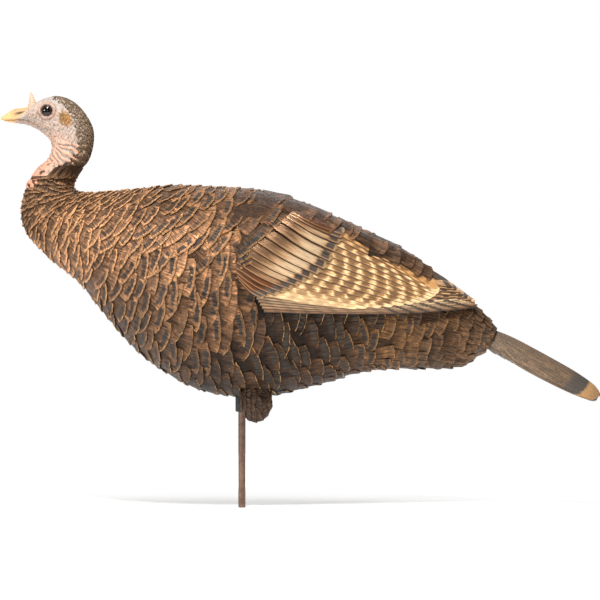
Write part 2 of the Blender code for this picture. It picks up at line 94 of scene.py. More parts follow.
# Tail: distance along it, half width, height of the middle, edge and underside, roundness.
TAIL_SECTIONS = (
    (0, 18, 13.5, 0, -12, 3),
    (28, 26, 15, -9, -8, 3),
    (60, 33, 15, -12, 6, 3),
    (110, 38, 14, -12, 8, 2.5),
    (140, 36, 11, -10, 6.5, 2.2),
    (152, 27, 7.5, -8, 4, 2),
    (158, 13, 3.5, -5, 1, 1.5),
)
TAIL_ROOT = (330.4, 221.5)
TAIL_SLOPE = math.radians(28)
ROOF_POWER = 1.8
LUMP_CENTRE = (19, 30, 143)
LUMP_RADII = (21, 14.5, 28.5)
WING_GAP, WING_LIFT, WING_THICKNESS = 1.5, 4.0, 4.0
WING_LIFT_START, WING_LIFT_LENGTH = 100, 160
WING_OUTLINE = ((66, 393), (27, 344), (11, 324), (27, 271), (77, 265), (143, 259), (209, 259),
                (275, 264), (301, 270), (251, 306), (209, 328), (129, 361))

# Head, as seen from the side: x and z of its features.
EYE = (-255.8, 522.6)
EYE_RADIUS, EYE_SEAT, CREASE_RADIUS = 9.6, 12.4, 12.4
EAR = (-231.5, 512)
NOSTRIL = (-292, 520.3)
MOUTH = ((-312, 510.6), (-306, 510.8), (-293, 511.6), (-282, 509.8), (-275, 506.4), (-264, 500.5))
RIDGE_CENTRE = (-264, 486)
PIT_COUNT = 420
# Half width of the hairy band down the back of the head: head section and angle in degrees.
HAIR_BAND = ((0, 105), (0.6, 88), (1.2, 70), (2, 62), (3, 64), (4, 66), (5, 52), (6, 44),
             (6.6, 30), (7.1, 0), (12, -60))

# Edge of the upper feather tract, from the neck to the rump: body section and angle in degrees.
TRACT_EDGE = ((0, 122), (3, 116), (4.5, 114), (6, 110), (7.6, 97), (8.6, 83), (8.9, 62),
              (9.2, 48), (10, 40), (11, 37), (12, 41), (12.6, 46), (13, 44), (13.4, 38),
              (14, 44), (15.5, 60))
# Front edge of the wing panels, where the shoulder feathers lie over them.
WING_FRONT = ((66, 393), (27, 344), (11, 324), (20, 296))
# Feathers in one row round the body.
COLUMNS = 18

# Spots of the wing feathers.
SPOT_SPACING, SPOT_HALF_LENGTH, SPOT_HALF_WIDTH = 19.0, 6.6, 5.6

# Camera, lights and floor, in metres, but the camera's sensor in millimetres.
VIEW_CENTRE = (0.0767, 0.2739)
VIEW_DISTANCE = 4.0
VIEW_WIDTH = 0.792
SENSOR_WIDTH = 36
LIGHT_AIM = (0.05, 0, 0.28)
FLOOR_RADIUS = 1.4


# ---------------------------------------------------------------- curves and surfaces

def on_curve(points, place):
    """Catmull-Rom curve through the rows of points at an array of places, counted from 0."""
    points = np.asarray(points, float)
    place = np.asarray(place, float)
    last = len(points) - 1
    start = np.clip(np.floor(place).astype(int), 0, last - 1)
    t = (place - start)[..., None]
    p0 = points[np.maximum(start - 1, 0)]
    p1 = points[start]
    p2 = points[start + 1]
    p3 = points[np.minimum(start + 2, last)]
    cubic = -p0 + 3 * p1 - 3 * p2 + p3
    square = 2 * p0 - 5 * p1 + 4 * p2 - p3
    return 0.5 * (2 * p1 + (p2 - p0) * t + square * t ** 2 + cubic * t ** 3)


def spots_on(points, count):
    """Evenly counted spots from a curve's first point to its last."""
    return on_curve(points, np.linspace(0, len(points) - 1, count))


def staggered(row, number, count, shift=0.0):
    """Angle of one of the feathers in a row, every other row set off by half a feather."""
    return (number + 0.5 * (row % 2) + shift) * 2 * math.pi / count


def full_turn(count):
    return np.linspace(0, 2 * math.pi, count, endpoint=False)


def grid(down, across):
    return np.meshgrid(down, across, indexing="ij")


def smooth_step(low, high, value):
    """0 below low and 1 above high, or the other way round if low is the larger."""
    t = np.clip((np.asarray(value, float) - low) / (high - low), 0, 1)
    return t * t * (3 - 2 * t)


def unit(vectors):
    return vectors / np.maximum(np.linalg.norm(vectors, axis=-1, keepdims=True), 1e-9)


def wrapped(angle):
    return (angle + math.pi) % (2 * math.pi) - math.pi


def dot(p, q):
    return np.sum(p * q, axis=-1)


def tail_frame(along, across, up):
    """From lengths along, across and over the tail to the shared frame."""
    x = TAIL_ROOT[0] + along * math.cos(TAIL_SLOPE) + up * math.sin(TAIL_SLOPE)
    z = TAIL_ROOT[1] - along * math.sin(TAIL_SLOPE) + up * math.cos(TAIL_SLOPE)
    return np.stack([x, across + 0 * x, z], axis=-1)


class Surface:
    """A surface with two coordinates. A kind of surface says where its points are."""
    step = (0.01, 0.01)

    def basis(self, a, b):
        """Point, its change with each coordinate, and the outward normal."""
        da, db = self.step
        along = (self.point(a + da, b) - self.point(a - da, b)) / (2 * da)
        across = (self.point(a, b + db) - self.point(a, b - db)) / (2 * db)
        point = self.point(a, b)
        normal = unit(np.cross(along, across))
        outward = np.sum(normal * self.outward(a, b, point), axis=-1, keepdims=True)
        return point, along, across, normal * np.where(outward < 0, -1, 1)

    def raised(self, a, b, height):
        point, _, _, normal = self.basis(a, b)
        return point + normal * height[..., None]


class Loft(Surface):
    """Sections from one end to the other: coordinates are section number and angle."""

    def __init__(self, sections):
        self.rows = np.array(sections, float)
        self.last = len(sections) - 1.0

    def section(self, place):
        """Centre and reach of a section as x, z, then its half width and fullness."""
        row = on_curve(self.rows, np.clip(place, 0, self.last))
        back, belly = row[..., 0:2], row[..., 2:4]
        return (back + belly) / 2, (back - belly) / 2, row[..., 4], row[..., 5]

    def point(self, place, angle):
        centre, reach, half, fullness = self.section(place)
        c, s = np.cos(angle), np.sin(angle)
        x, z = np.moveaxis(centre + reach * c[..., None], -1, 0)
        return np.stack([x, half * s * (1 + fullness * c), z], axis=-1)

    def outward(self, place, angle, point):
        centre, _, half, _ = self.section(place)
        return point - np.stack([centre[..., 0], 0 * half, centre[..., 1]], axis=-1)

    def locate(self, x, z):
        """Coordinates of the side-view spot x, z on the +Y side."""
        spot = np.stack([x, z], axis=-1)
        low = np.zeros_like(x)
        high = np.full_like(x, self.last)

        def side(place):
            centre, reach, _, _ = self.section(place)
            gap = spot - centre
            return reach[..., 0] * gap[..., 1] > reach[..., 1] * gap[..., 0]

        first = side(low)
        for _ in range(26):
            middle = (low + high) / 2
            same = side(middle) == first
            low = np.where(same, middle, low)
            high = np.where(same, high, middle)
        centre, reach, _, _ = self.section(low)
        share = dot(spot - centre, reach) / dot(reach, reach)
        return low, np.arccos(np.clip(share, -0.999, 0.999))


class Wing(Surface):
    """Outer face of the left wing panel: coordinates are x and z as seen from the side."""
    step = (0.4, 0.4)

    def __init__(self, body):
        self.body = body

    def point(self, x, z):
        place, angle = self.body.locate(x, z)
        rise = np.clip((x - WING_LIFT_START) / WING_LIFT_LENGTH, 0, 1)
        offset = WING_GAP + WING_LIFT * rise ** 2 + WING_THICKNESS
        return self.body.raised(place, -angle, offset)

    def outward(self, x, z, point):
        return np.stack([0 * x, 0 * x - 1, 0 * x + 0.2], axis=-1)


class Roof(Surface):
    """Upper face and side edges of the tail.

    Coordinates are the distance along it, and across it in units where EDGE is the rim:
    past the rim the surface turns down the side.
    """
    EDGE = 30.0
    step = (0.5, 0.5)

    def point(self, along, across):
        places = np.linspace(0, len(TAIL_SECTIONS) - 1, 121)
        rows = on_curve(TAIL_SECTIONS, places)
        reach = np.clip(along, rows[0, 0], rows[-1, 0])
        half, crown, edge, under = (np.interp(reach, rows[:, 0], rows[:, k]) for k in (1, 2, 3, 4))
        under = np.minimum(under, edge - 3)
        share = np.abs(across) / self.EDGE
        inner = np.minimum(share, 1)
        height = edge + (crown - edge) * (1 - inner ** ROOF_POWER)
        height = height - np.maximum(share - 1, 0) * 2.5 * (edge - under)
        return tail_frame(along, np.sign(across) * half * inner, height)

    def outward(self, along, across, point):
        return np.stack([0 * along + 0.47, across / self.EDGE, 0 * along + 0.88], axis=-1)


class Lump(Surface):
    """Thigh lump: coordinates are the angle from its front end and the angle from its top."""

    def __init__(self, side):
        self.centre = np.array(LUMP_CENTRE, float) * (1, side, 1)

    def point(self, a, b):
        reach = np.stack([-np.cos(a), np.sin(a) * np.sin(b), np.sin(a) * np.cos(b)], axis=-1)
        return self.centre + reach * LUMP_RADII

    def outward(self, a, b, point):
        return point - self.centre


# ---------------------------------------------------------------- feathers

def add_object(name, data):
    item = bpy.data.objects.new(name, data)
    bpy.context.scene.collection.objects.link(item)
    return item


def add_mesh(name, points, faces, layers, material):
    """Mesh from points in millimetres. A layer is a name, a kind, a field and its values."""
    mesh = bpy.data.meshes.new(name)
    mesh.from_pydata((points.reshape(-1, 3) * MM).tolist(), [], faces)
    for layer_name, kind, field, values in layers:
        layer = mesh.attributes.new(layer_name, kind, "POINT")
        layer.data.foreach_set(field, values.astype(np.float32).ravel())
    mesh.shade_smooth()
    mesh.materials.append(material)
    return add_object(name, mesh)


class Patches:
    """Collects feather grids and makes one mesh object of them."""

    def __init__(self):
        self.points, self.faces, self.marks, self.tints = [], [], [], []
        self.count = 0

    def add(self, points, marks, tints, flip=False):
        """points, marks and tints: feathers x rows x columns x 3 or 4."""
        number, rows, columns = points.shape[:3]
        index = np.arange(number * rows * columns).reshape(number, rows, columns) + self.count
        quads = np.stack([index[:, :-1, :-1], index[:, :-1, 1:], index[:, 1:, 1:],
                          index[:, 1:, :-1]], axis=-1).reshape(-1, 4)
        self.faces.append(quads[:, ::-1] if flip else quads)
        self.points.append(points.reshape(-1, 3))
        self.marks.append(np.broadcast_to(marks, points.shape).reshape(-1, 3))
        self.tints.append(np.broadcast_to(tints, (*points.shape[:3], 4)).reshape(-1, 4))
        self.count += number * rows * columns

    def build(self, name, material, mirror=False):
        points, faces = np.concatenate(self.points), np.concatenate(self.faces)
        if mirror:
            points = points * (1, -1, 1)
            faces = faces[:, ::-1]
        layers = (("feather", "FLOAT_VECTOR", "vector", np.concatenate(self.marks)),
                  ("tint", "FLOAT_COLOR", "color", np.concatenate(self.tints)))
        return add_mesh(name, points, faces.tolist(), layers, material)


def spread(values):
    """One number for each feather, or one for all of them, to go with rows and columns."""
    return np.atleast_1d(np.asarray(values, float))[:, None, None]


def lay_scales(patches, surface, a, b, turn, visible, half_width, tip_height, drop, tints, rng,
               blunt=0.2, crown=1.1, lip=1.6, overlap=2.3, ridge=0.45, ragged=1.2,
               bead=0.3, rows=7, columns=12, backwards=False):
    """Feathers that overlap like roof tiles, each with the middle of its tip at a, b.

    turn rotates a feather from the surface's first coordinate towards the second. visible is
    the length that the next row leaves bare: over it, the feather's height over the surface
    falls by drop, and beyond it the feather slips under its neighbours. The sides fall by
    crown, the tip turns down by lip and ends ragged, and bead thickens its edge.
    """
    number = len(a)
    _, along, across, normal = surface.basis(a, b)
    ahead = unit(along) * (-1 if backwards else 1)
    sideways = np.cross(normal, ahead)
    sideways *= np.where(np.sum(sideways * across, axis=-1, keepdims=True) < 0, -1, 1)
    turn = np.broadcast_to(turn, a.shape)[:, None]
    flow = ahead * np.cos(turn) + sideways * np.sin(turn)
    wide = sideways * np.cos(turn) - ahead * np.sin(turn)

    u = 1 - (1 - np.linspace(0, 1, rows)) ** 1.7
    u = np.append(u, 1.0)[None, :, None]
    v = np.linspace(-1, 1, columns + 1)[None, None, :]
    barb = rng.uniform(-1, 1, (number, 1, columns + 1))
    blunt_depth = spread(half_width) * blunt * np.abs(v) ** 2.4 + ragged * (barb + 1) / 2
    length = spread(visible) * overlap
    x = -length * (1 - u) - blunt_depth * u ** 2
    y = spread(half_width) * v * (0.82 + 0.18 * u) + 0 * x
    tip = np.maximum(-x - blunt_depth, 0)
    share = tip / spread(visible)
    lean = rng.uniform(-0.4, 0.4, number)
    fall = spread(drop) * np.minimum(share, 1) + 0.22 * np.maximum(share - 1, 0)
    height = spread(tip_height) - fall - crown * np.abs(v) ** 3 + spread(lean) * v
    height = height + ridge * barb * smooth_step(0.0, 0.5, u) + bead * (u > 0.94)
    height[:, -1, :] -= lip
    x[:, -1, :] -= 0.25
    # The lip is marked -1 from the tip; the paint darkens it as painted shade.
    tip[:, -1, :] = -1.0

    # Steps on the surface, worked out in its own two coordinates.
    g11, g12, g22 = dot(along, along), dot(along, across), dot(across, across)
    det = g11 * g22 - g12 ** 2
    step = x[..., None] * flow[:, None, None, :] + y[..., None] * wide[:, None, None, :]
    s1, s2 = dot(step, along[:, None, None, :]), dot(step, across[:, None, None, :])
    da = (s1 * spread(g22) - s2 * spread(g12)) / spread(det)
    db = (s2 * spread(g11) - s1 * spread(g12)) / spread(det)
    points = surface.raised(spread(a) + da, spread(b) + db, height)
    seeds = rng.uniform(0, 1, number)
    marks = np.stack([y, tip, spread(seeds) + 0 * x], axis=-1)
    # Painted shade: each feather darkens away from its tip, towards where the next row's tips lie over
    # it and shade it.
    shade = 1 - 0.72 * smooth_step(0.25, 1.0, share)
    tints = tints[:, None, None, :] * np.stack([shade, shade, shade, 1 + 0 * shade], axis=-1)
    turned_over = dot(np.cross(flow, wide), normal)[0] > 0
    patches.add(points, marks, tints, flip=not turned_over)


def lay_strip(patches, surface, centre, widths, height, tilt, tint, seed, rows=26, columns=6,
              tip_round=1.6, lip=1.4, root_sink=1.5):
    """One long feather along a curve of surface coordinates, its tip at the curve's end.

    widths are (root, middle, tip) half widths. tilt raises the far edge (towards lower z).
    """
    t = 1 - (1 - np.linspace(0, 1, rows)) ** 1.35
    line = on_curve(centre, t * (len(centre) - 1))
    heading = unit(np.gradient(line, axis=0))
    aside = np.stack([heading[:, 1], -heading[:, 0]], axis=-1)
    v = np.linspace(-1, 1, columns + 1)
    length = np.concatenate([[0], np.cumsum(np.linalg.norm(np.diff(line, axis=0), axis=1))])
    left = length[-1] - length
    half = on_curve([[w] for w in widths], t * (len(widths) - 1))[:, 0]
    reach = tip_round * widths[-1]
    half = half * np.sqrt(np.clip(1 - (1 - np.minimum(left / reach, 1)) ** 2.2, 0.0004, 1))
    spots = line[:, None, :] + aside[:, None, :] * (half[:, None] * v[None, :])[..., None]
    rise = (height - root_sink * (1 - smooth_step(0, 0.25, t)))[:, None] + tilt * v[None, :]
    rise = rise - 0.9 * np.abs(v[None, :]) ** 3
    # A lip turned down at the tip and along the far edge closes the feather.
    spots = np.pad(spots, ((0, 1), (0, 1), (0, 0)), "edge")
    rise = np.pad(rise, ((0, 1), (0, 1)), "edge")
    rise[-1] -= lip
    rise[:, -1] -= lip
    across = np.pad(half[:, None] * v[None, :], ((0, 1), (0, 1)), "edge")
    # The lip is marked -1 from the tip; the paint darkens it as painted shade.
    left = np.append(left, -1.0)
    points = surface.raised(spots[..., 0], spots[..., 1], rise)
    marks = np.stack([across, left[:, None] + 0 * across, seed + 0 * across], axis=-1)
    tints = np.broadcast_to(np.array(tint, float), (*across.shape, 4))
    patches.add(points[None], marks[None], tints[None])


def linear(red, green, blue, strength=1.0):
    """Paint colour from display values 0 to 255, with the strength of its dark bars."""
    values = [(c / 255) ** 2.2 for c in (red, green, blue)]
    return (*values, strength)


# Paint over the body, as seen from the side: x, z, reach, colour and strength of the bars.
BODY_PAINT = (
    (-255, 425, 40, linear(112, 84, 61, 0.30)),
    (-270, 385, 50, linear(160, 118, 84, 0.50)),
    (-225, 335, 55, linear(206, 150, 108, 0.70)),
    (-150, 390, 70, linear(188, 137, 99, 0.75)),
    (-60, 400, 70, linear(160, 114, 79, 0.95)),
    (30, 400, 60, linear(104, 70, 46, 0.85)),
    (-110, 300, 70, linear(164, 119, 86, 0.95)),
    (-30, 270, 70, linear(136, 97, 67, 1.00)),
    (-130, 225, 60, linear(86, 62, 45, 0.95)),
    (-10, 175, 60, linear(68, 49, 36, 1.00)),
    (60, 235, 60, linear(52, 34, 21, 1.00)),
    (140, 215, 60, linear(74, 50, 31, 1.00)),
    (215, 225, 50, linear(136, 95, 58, 0.90)),
    (250, 190, 40, linear(66, 52, 42, 0.40)),
    (290, 245, 40, linear(130, 93, 63, 0.45)),
    (330, 235, 30, linear(112, 87, 66, 0.30)),
    (140, 370, 50, linear(118, 82, 56, 0.45)),
    (230, 325, 50, linear(112, 82, 59, 0.40)),
)


def paint_at(x, z):
    """Paint at side-view spots, blended between the nearest entries of the table."""
    weights = np.stack([np.exp(-((x - px) ** 2 + (z - pz) ** 2) / (0.9 * reach) ** 2) + 1e-9
                        for px, pz, reach, _ in BODY_PAINT])
    colours = np.array([colour for *_, colour in BODY_PAINT])
    return np.einsum("kn,kc->nc", weights, colours) / weights.sum(axis=0)[:, None]


def varied(tints, rng, amount):
    """Makes each feather a little lighter or darker than its tint."""
    tints = np.array(tints, float)
    factor = rng.uniform(1 - amount, 1 + amount, (len(tints), 1))
    tints[:, :3] *= factor
    return tints


def tract_edge(place):
    edge = np.array(TRACT_EDGE, float)
    return np.radians(np.interp(place, edge[:, 0], edge[:, 1]))


def exposure(place):
    """Visible length of a feather at a section of the body."""
    return np.interp(place, (0, 2, 4, 6, 8, 10, 12, 14, 15.5), (5.5, 6, 8, 11, 14, 17, 18, 17, 15))


def feather_rows(surface, start, end, at_angle):
    """Sections where rows of feathers end, each row's visible length after the last."""
    places = []
    place = start
    while place < end:
        places.append(place)
        _, along, _, _ = surface.basis(np.array(place), np.array(at_angle))
        place += float(exposure(place)) / float(np.linalg.norm(along))
    return places


def inside_outline(x, z, outline, keep):
    """Whether side-view spots lie within an outline that is shrunk to a share of its size."""
    outline = np.array(outline, float)
    centre = outline.mean(axis=0)
    outline = centre + (outline - centre) * keep
    result = np.zeros(x.shape, bool)
    for (x0, z0), (x1, z1) in zip(outline, np.roll(outline, -1, axis=0)):
        crosses = (z0 > z) != (z1 > z)
        at = x0 + (z - z0) * (x1 - x0) / (z1 - z0 + 1e-9)
        result ^= crosses & (x < at)
    return result


def distance_to(x, z, line):
    """Distance from side-view spots to a curve."""
    spots = spots_on(line, 60)
    gaps = np.hypot(x[:, None] - spots[None, :, 0], z[:, None] - spots[None, :, 1])
    return gaps.min(axis=1)


def scatter(surface, rng, upper):
    """Tip places of one tract: staggered rows, a little uneven."""
    rows = feather_rows(surface, 0.9, RUMP_END + 0.1, math.radians(50 if upper else 125))
    spots = []
    for number, place in enumerate(rows):
        edge = float(tract_edge(place))
        for k in range(COLUMNS):
            angle = wrapped(staggered(number, k, COLUMNS, rng.uniform(-0.2, 0.2)))
            inside = abs(angle) < edge
            near = abs(angle) > edge - math.radians(8)
            jitter = rng.uniform(-0.28, 0.28) * exposure(place)
            if inside == upper or (not upper and near):
                spots.append((place, angle, jitter))
    place, angle, jitter = np.array(spots).T
    _, along, _, _ = surface.basis(place, angle)
    place = np.clip(place + jitter / np.linalg.norm(along, axis=1), 0.35, None)
    point = surface.point(place, angle)
    on_wing = inside_outline(point[:, 0], point[:, 2], WING_OUTLINE, 0.98 if upper else 0.86)
    keep = ~on_wing | (upper & ((np.abs(angle) < math.radians(45)) | (place > 9.5)))
    return place[keep], angle[keep]


def over_wing(place, angle, x, z):
    """Extra height where the upper tract lies over the edges of the wing panels."""
    front = 3.6 * np.exp(-(distance_to(x, z, WING_FRONT) / 20) ** 2) * (place < 9.8)
    lift = WING_LIFT * np.clip((x - WING_LIFT_START) / WING_LIFT_LENGTH, 0, 1) ** 2
    top = smooth_step(9.3, 10.0, place) * smooth_step(13.2, 12.8, place)
    top = top * smooth_step(12, 28, np.degrees(np.abs(angle)))
    return np.maximum(front, (WING_GAP + WING_THICKNESS + 0.5 + lift) * top)


def body_tract(patches, surface, rng, upper):
    """Rows of feathers over the upper tract, or over the lower one that it overlaps."""
    place, angle = scatter(surface, rng, upper)
    point = surface.point(place, angle)
    x, z = point[:, 0], point[:, 2]
    _, _, across, _ = surface.basis(place, angle)
    visible = exposure(place) * rng.uniform(0.9, 1.2, len(place))
    half = np.linalg.norm(across, axis=1) * math.pi / COLUMNS * rng.uniform(0.98, 1.38, len(place))
    rise, drop = (1.9 if upper else 1.7), 1.2
    if upper:
        bend = np.interp(place, (0, 4, 7, 9.6, 12, 15), (0, 8, 20, 26, 10, 0))
        bend = bend * np.sin(np.clip(np.abs(angle) * 1.3, 0, math.pi / 2))
        rise = rise + over_wing(place, angle, x, z)
    else:
        bend = np.interp(place, (0, 5, 8, 11, 15), (0, -8, -12, -6, 0))
        undertail = smooth_step(10.6, 12, place) * smooth_step(118, 140, np.degrees(np.abs(angle)))
        rise = rise + 0.8 * undertail
        drop = drop + 0.5 * undertail
        visible = visible * (1 + 0.25 * undertail)
    turn = np.radians(bend) * np.sign(angle) + rng.uniform(-0.22, 0.22, len(place))
    small = np.interp(place, (0, 3, 7), (0.5, 0.75, 1.0))
    tints = varied(paint_at(x, z), rng, 0.24)
    if not upper:
        # Painted shadow in the deep gap under each wing's lower edge: the flank feathers there are
        # darkened.
        painted_wing_shadow = smooth_step(236, 254, z) * smooth_step(10, 50, x) * smooth_step(305, 270, x)
        tints[:, :3] *= (1 - 0.6 * painted_wing_shadow)[:, None]
    lay_scales(patches, surface, place, angle, turn, visible, half, rise * small, drop * small,
               tints, rng, crown=0.9, bead=0.9)


def shoulder_edge(patches, surface, rng):
    """Last row of shoulder feathers, dark with a tan edge, along the front of each wing."""
    x, z = spots_on(((62, 380), (55, 373), (31, 352), (9, 333), (8, 316)), 10).T
    place, angle = surface.locate(x, z)
    bend = np.radians(np.linspace(24, 48, len(x)))
    rise = np.linspace(5.5, 9.0, len(x))
    for side in (LEFT, RIGHT):
        tints = varied([linear(112, 80, 54)] * len(x), rng, 0.08)
        lay_scales(patches, surface, place, side * angle, side * bend, 13.0, 8.8, rise, 2.2,
                   tints, rng, blunt=0.1, overlap=1.3, ridge=0.35)


def body_feathers(surface, upper):
    """Feathers over the back, breast and shoulders, or over the flanks, belly and rump."""
    rng = np.random.default_rng(11 + upper)
    patches = Patches()
    body_tract(patches, surface, rng, upper)
    if upper:
        shoulder_edge(patches, surface, rng)
    else:
        for side in (LEFT, RIGHT):
            lump_feathers(patches, Lump(side), rng)
    return patches


def lump_feathers(patches, surface, rng):
    """Short dark feathers round the thigh lump, from its front end to its back."""
    spots = []
    for number, a in enumerate(np.linspace(0.6, 2.75, 7)):
        for k in range(7):
            spots.append((a, staggered(number, k, 7)))
    a, b = np.array(spots).T
    size = 5.0 + 8.0 * np.sin(a)
    tints = varied([linear(70, 53, 41, 0.1)] * len(a), rng, 0.2)
    lay_scales(patches, surface, a, b, 0.0, size * 0.9, size, 1.5, 1.1, tints, rng,
               blunt=0.4, crown=0.8, ridge=0.15, ragged=0.7, columns=8)


# ---------------------------------------------------------------- wing feathers

def between(first, last, count, power=1.0):
    """Spots from the first to the last, closer together at the start if power is over 1."""
    share = np.linspace(0, 1, count) ** power
    return np.array(first, float) + share[:, None] * (np.array(last, float) - np.array(first))


def wing_coverts(surface, rng):
    """Bronze coverts: long, narrow, with a dark band and a tan edge at their tips."""
    patches = Patches()
    count = 15
    starts = spots_on(((66, 387), (56, 377), (28, 353), (3, 336), (-3, 318), (2, 304)), count)
    ends = spots_on(((132, 358), (126, 344), (112, 319), (92, 305), (72, 295), (51, 286),
                     (31, 281)), count)
    bronze, brown = np.array(linear(238, 186, 134)), np.array(linear(112, 68, 42))
    for k in range(count - 1, -1, -1):
        start, end = starts[k], ends[k]
        middle = (start + end) / 2 + np.array((-1.5, -2.5))
        dull = max(float(smooth_step(3.4, 0.8, k)), float(smooth_step(7.2, 11, k)))
        tint = bronze + dull * (brown - bronze)
        # The tint's fourth value sets the strength of the painted highlight in the middle of the
        # bronze feathers.
        tint[3] = 1 - dull
        tint[:3] *= rng.uniform(0.9, 1.1)
        lay_strip(patches, surface, (start, middle, end), (6.4, 6.8, 6.4), 2.2, 1.4, tint,
                  rng.uniform(), rows=24, tip_round=0.5)
    return patches


def wing_secondaries(surface, rng):
    """Buff secondaries with brown checker spots, each one's lower edge over the next."""
    patches = Patches()
    count = 14
    starts = spots_on(((98, 374), (93, 354), (84, 334), (70, 317), (42, 299), (16, 288)), count)
    ends = spots_on(((250, 288), (254, 282), (244, 276), (224, 272), (190, 269), (150, 267)),
                    count)
    for k in range(count - 1, -1, -1):
        start, end = starts[k], ends[k]
        sag = np.interp(k, (0, count - 1), (3.0, -2.0))
        middle = (start + end) / 2 + np.array((0, sag))
        golden = float(smooth_step(2.2, 0.5, k))
        pale, gold = np.array(linear(248, 208, 154)), np.array(linear(200, 146, 92))
        tint = varied([pale + golden * (gold - pale)], rng, 0.07)[0]
        tint[3] = 1.0 - 0.75 * float(smooth_step(9.5, 12.5, k))
        wide = np.interp(k, (0, 8, count - 1), (7.4, 7.0, 5.0))
        lay_strip(patches, surface, (start, middle, end), (wide * 0.9, wide, wide * 0.9), 0.9, 1.5,
                  tint, k * 0.37 % 1, rows=40, tip_round=1.3)
    return patches


def wing_primaries(surface, rng):
    """Folded primaries: long stripes with dark bars along the panel's lower edge."""
    patches = Patches()
    count = 8
    starts = between((14, 290), (30, 262), count)
    middles = between((120, 274), (120, 259.5), count)
    rears = between((215, 271), (215, 260), count)
    ends = between((282, 271), (304, 262), count, 0.8)
    pale, dark = np.array(linear(228, 192, 148, 0.0)), np.array(linear(138, 98, 64, 1.0))
    for k in range(count - 1, -1, -1):
        tint = varied([pale + k / (count - 1) * (dark - pale)], rng, 0.1)[0]
        lay_strip(patches, surface, (starts[k], middles[k], rears[k], ends[k]),
                  (3.0, 2.6, 2.8, 3.0), 0.3, 1.0, tint, k * 0.07, rows=56, tip_round=3.0)
    # Short tertials over the primaries' tips.
    for k in range(5, -2, -1):
        root = (205 + 2 * k, 297 - 4.8 * k)
        bend = (252 + 3 * k, 287 - 4 * k)
        tip = (277 + 4.8 * k, 283.5 - 3.3 * k)
        tint = varied([linear(196, 150, 104, 1.0)], rng, 0.1)[0]
        lay_strip(patches, surface, (root, bend, tip), (5.5, 5.8, 5.4), -0.1, 0.9, tint,
                  k * 0.31 % 1, rows=26, tip_round=1.1)
    return patches


# ---------------------------------------------------------------- tail feathers

class TailBase(Surface):
    """Tapering root of the tail: full where it leaves the rump, sinking into the fan."""

    # Distance along the tail, half width, height over the axis and depth below it.
    STATIONS = ((-6, 17, 10, 12), (8, 21, 13.5, 14), (40, 27, 12.5, 13.5), (80, 33, 10, 12.5),
                (125, 34, 6.5, 10.5), (150, 30, 3, 8))
    step = (0.5, 0.01)

    def point(self, along, turn):
        stations = np.array(self.STATIONS, float)
        wide, over, under = (np.interp(along, stations[:, 0], stations[:, k]) for k in (1, 2, 3))
        tall = np.where(np.cos(turn) > 0, over, under)
        return tail_frame(along, wide * np.sin(turn), tall * np.cos(turn))

    def outward(self, along, turn, point):
        return tail_frame(along, 60 * np.sin(turn), 60 * np.cos(turn)) - tail_frame(along, 0, 0)


def tail_coverts(patches, rng):
    """Long narrow feathers that thicken the tail's root from below."""
    spots = []
    for number, along in enumerate(np.arange(16, 60, 13.0)):
        for k in range(16):
            spots.append((along + rng.uniform(-4, 4), staggered(number, k, 16)))
    along, turn = np.array([spot for spot in spots if math.cos(spot[1]) < -0.5]).T
    tints = varied([linear(112, 90, 72, 0.0)] * len(along), rng, 0.1)
    lay_scales(patches, TailBase(), along, turn, 0.0, 26.0, 6.0, 0.9, 1.0, tints, rng,
               blunt=0.9, crown=0.5, ridge=0.2, overlap=1.5, rows=9, columns=8)


def tail_feathers(surface, rng):
    """Two stacks of long feathers, the outer ones beneath and shorter at the tip."""
    patches = Patches()
    tail_coverts(patches, rng)
    count = 9
    for side in (LEFT, RIGHT):
        for k in range(count - 1, -1, -1):
            share = (k + 0.5) / (count - 0.5) * 1.12
            across = side * Roof.EDGE * share
            tip_at = 161 - 9 * share ** 3
            line = ((-8, across), (70, across * 1.02), (tip_at, across * 0.97))
            tint = varied([linear(116, 93, 72, 1.0)], rng, 0.12)[0]
            lay_strip(patches, surface, line, (4.5, 5, 5), 1.0 - 0.1 * k, 0.7 * -side, tint,
                      rng.uniform(), rows=34, tip_round=1.4)
    return patches


# ---------------------------------------------------------------- paint and materials

# Colours of the paint, as shader values.
BAR_BLACK = (0.028, 0.021, 0.016)
COPPER = (0.74, 0.43, 0.175)
HIGHLIGHT_BRONZE = (0.86, 0.62, 0.38)
SOOT = (0.060, 0.044, 0.033)
SPOT_BROWN = (0.175, 0.084, 0.028)
SPOT_GOLD = (0.46, 0.22, 0.065)
TAIL_TAN = (0.52, 0.285, 0.115)
DUST = (0.13, 0.095, 0.07)

# Sets the noise of one feather far from the noise of the next.
SEED_SPREAD = 91.7


class Value:
    """A number or colour that a node makes. Arithmetic with it adds more nodes."""

    def __init__(self, paint, socket):
        self.paint = paint
        self.socket = socket

    def __add__(self, other):
        return self.paint.math("ADD", self, other)

    def __sub__(self, other):
        return self.paint.math("SUBTRACT", self, other)

    def __mul__(self, other):
        return self.paint.math("MULTIPLY", self, other)

    def ramp(self, low, high, to_low=0.0, to_high=1.0):
        """Smooth change from to_low to to_high, while the number goes from low to high."""
        inputs = {"Value": self, "From Min": low, "From Max": high,
                  "To Min": to_low, "To Max": to_high}
        node = self.paint.node("ShaderNodeMapRange", inputs, interpolation_type="SMOOTHSTEP")
        return Value(self.paint, node.outputs["Result"])

    def fade(self, low, high):
        return self.ramp(low, high, 1.0, 0.0)


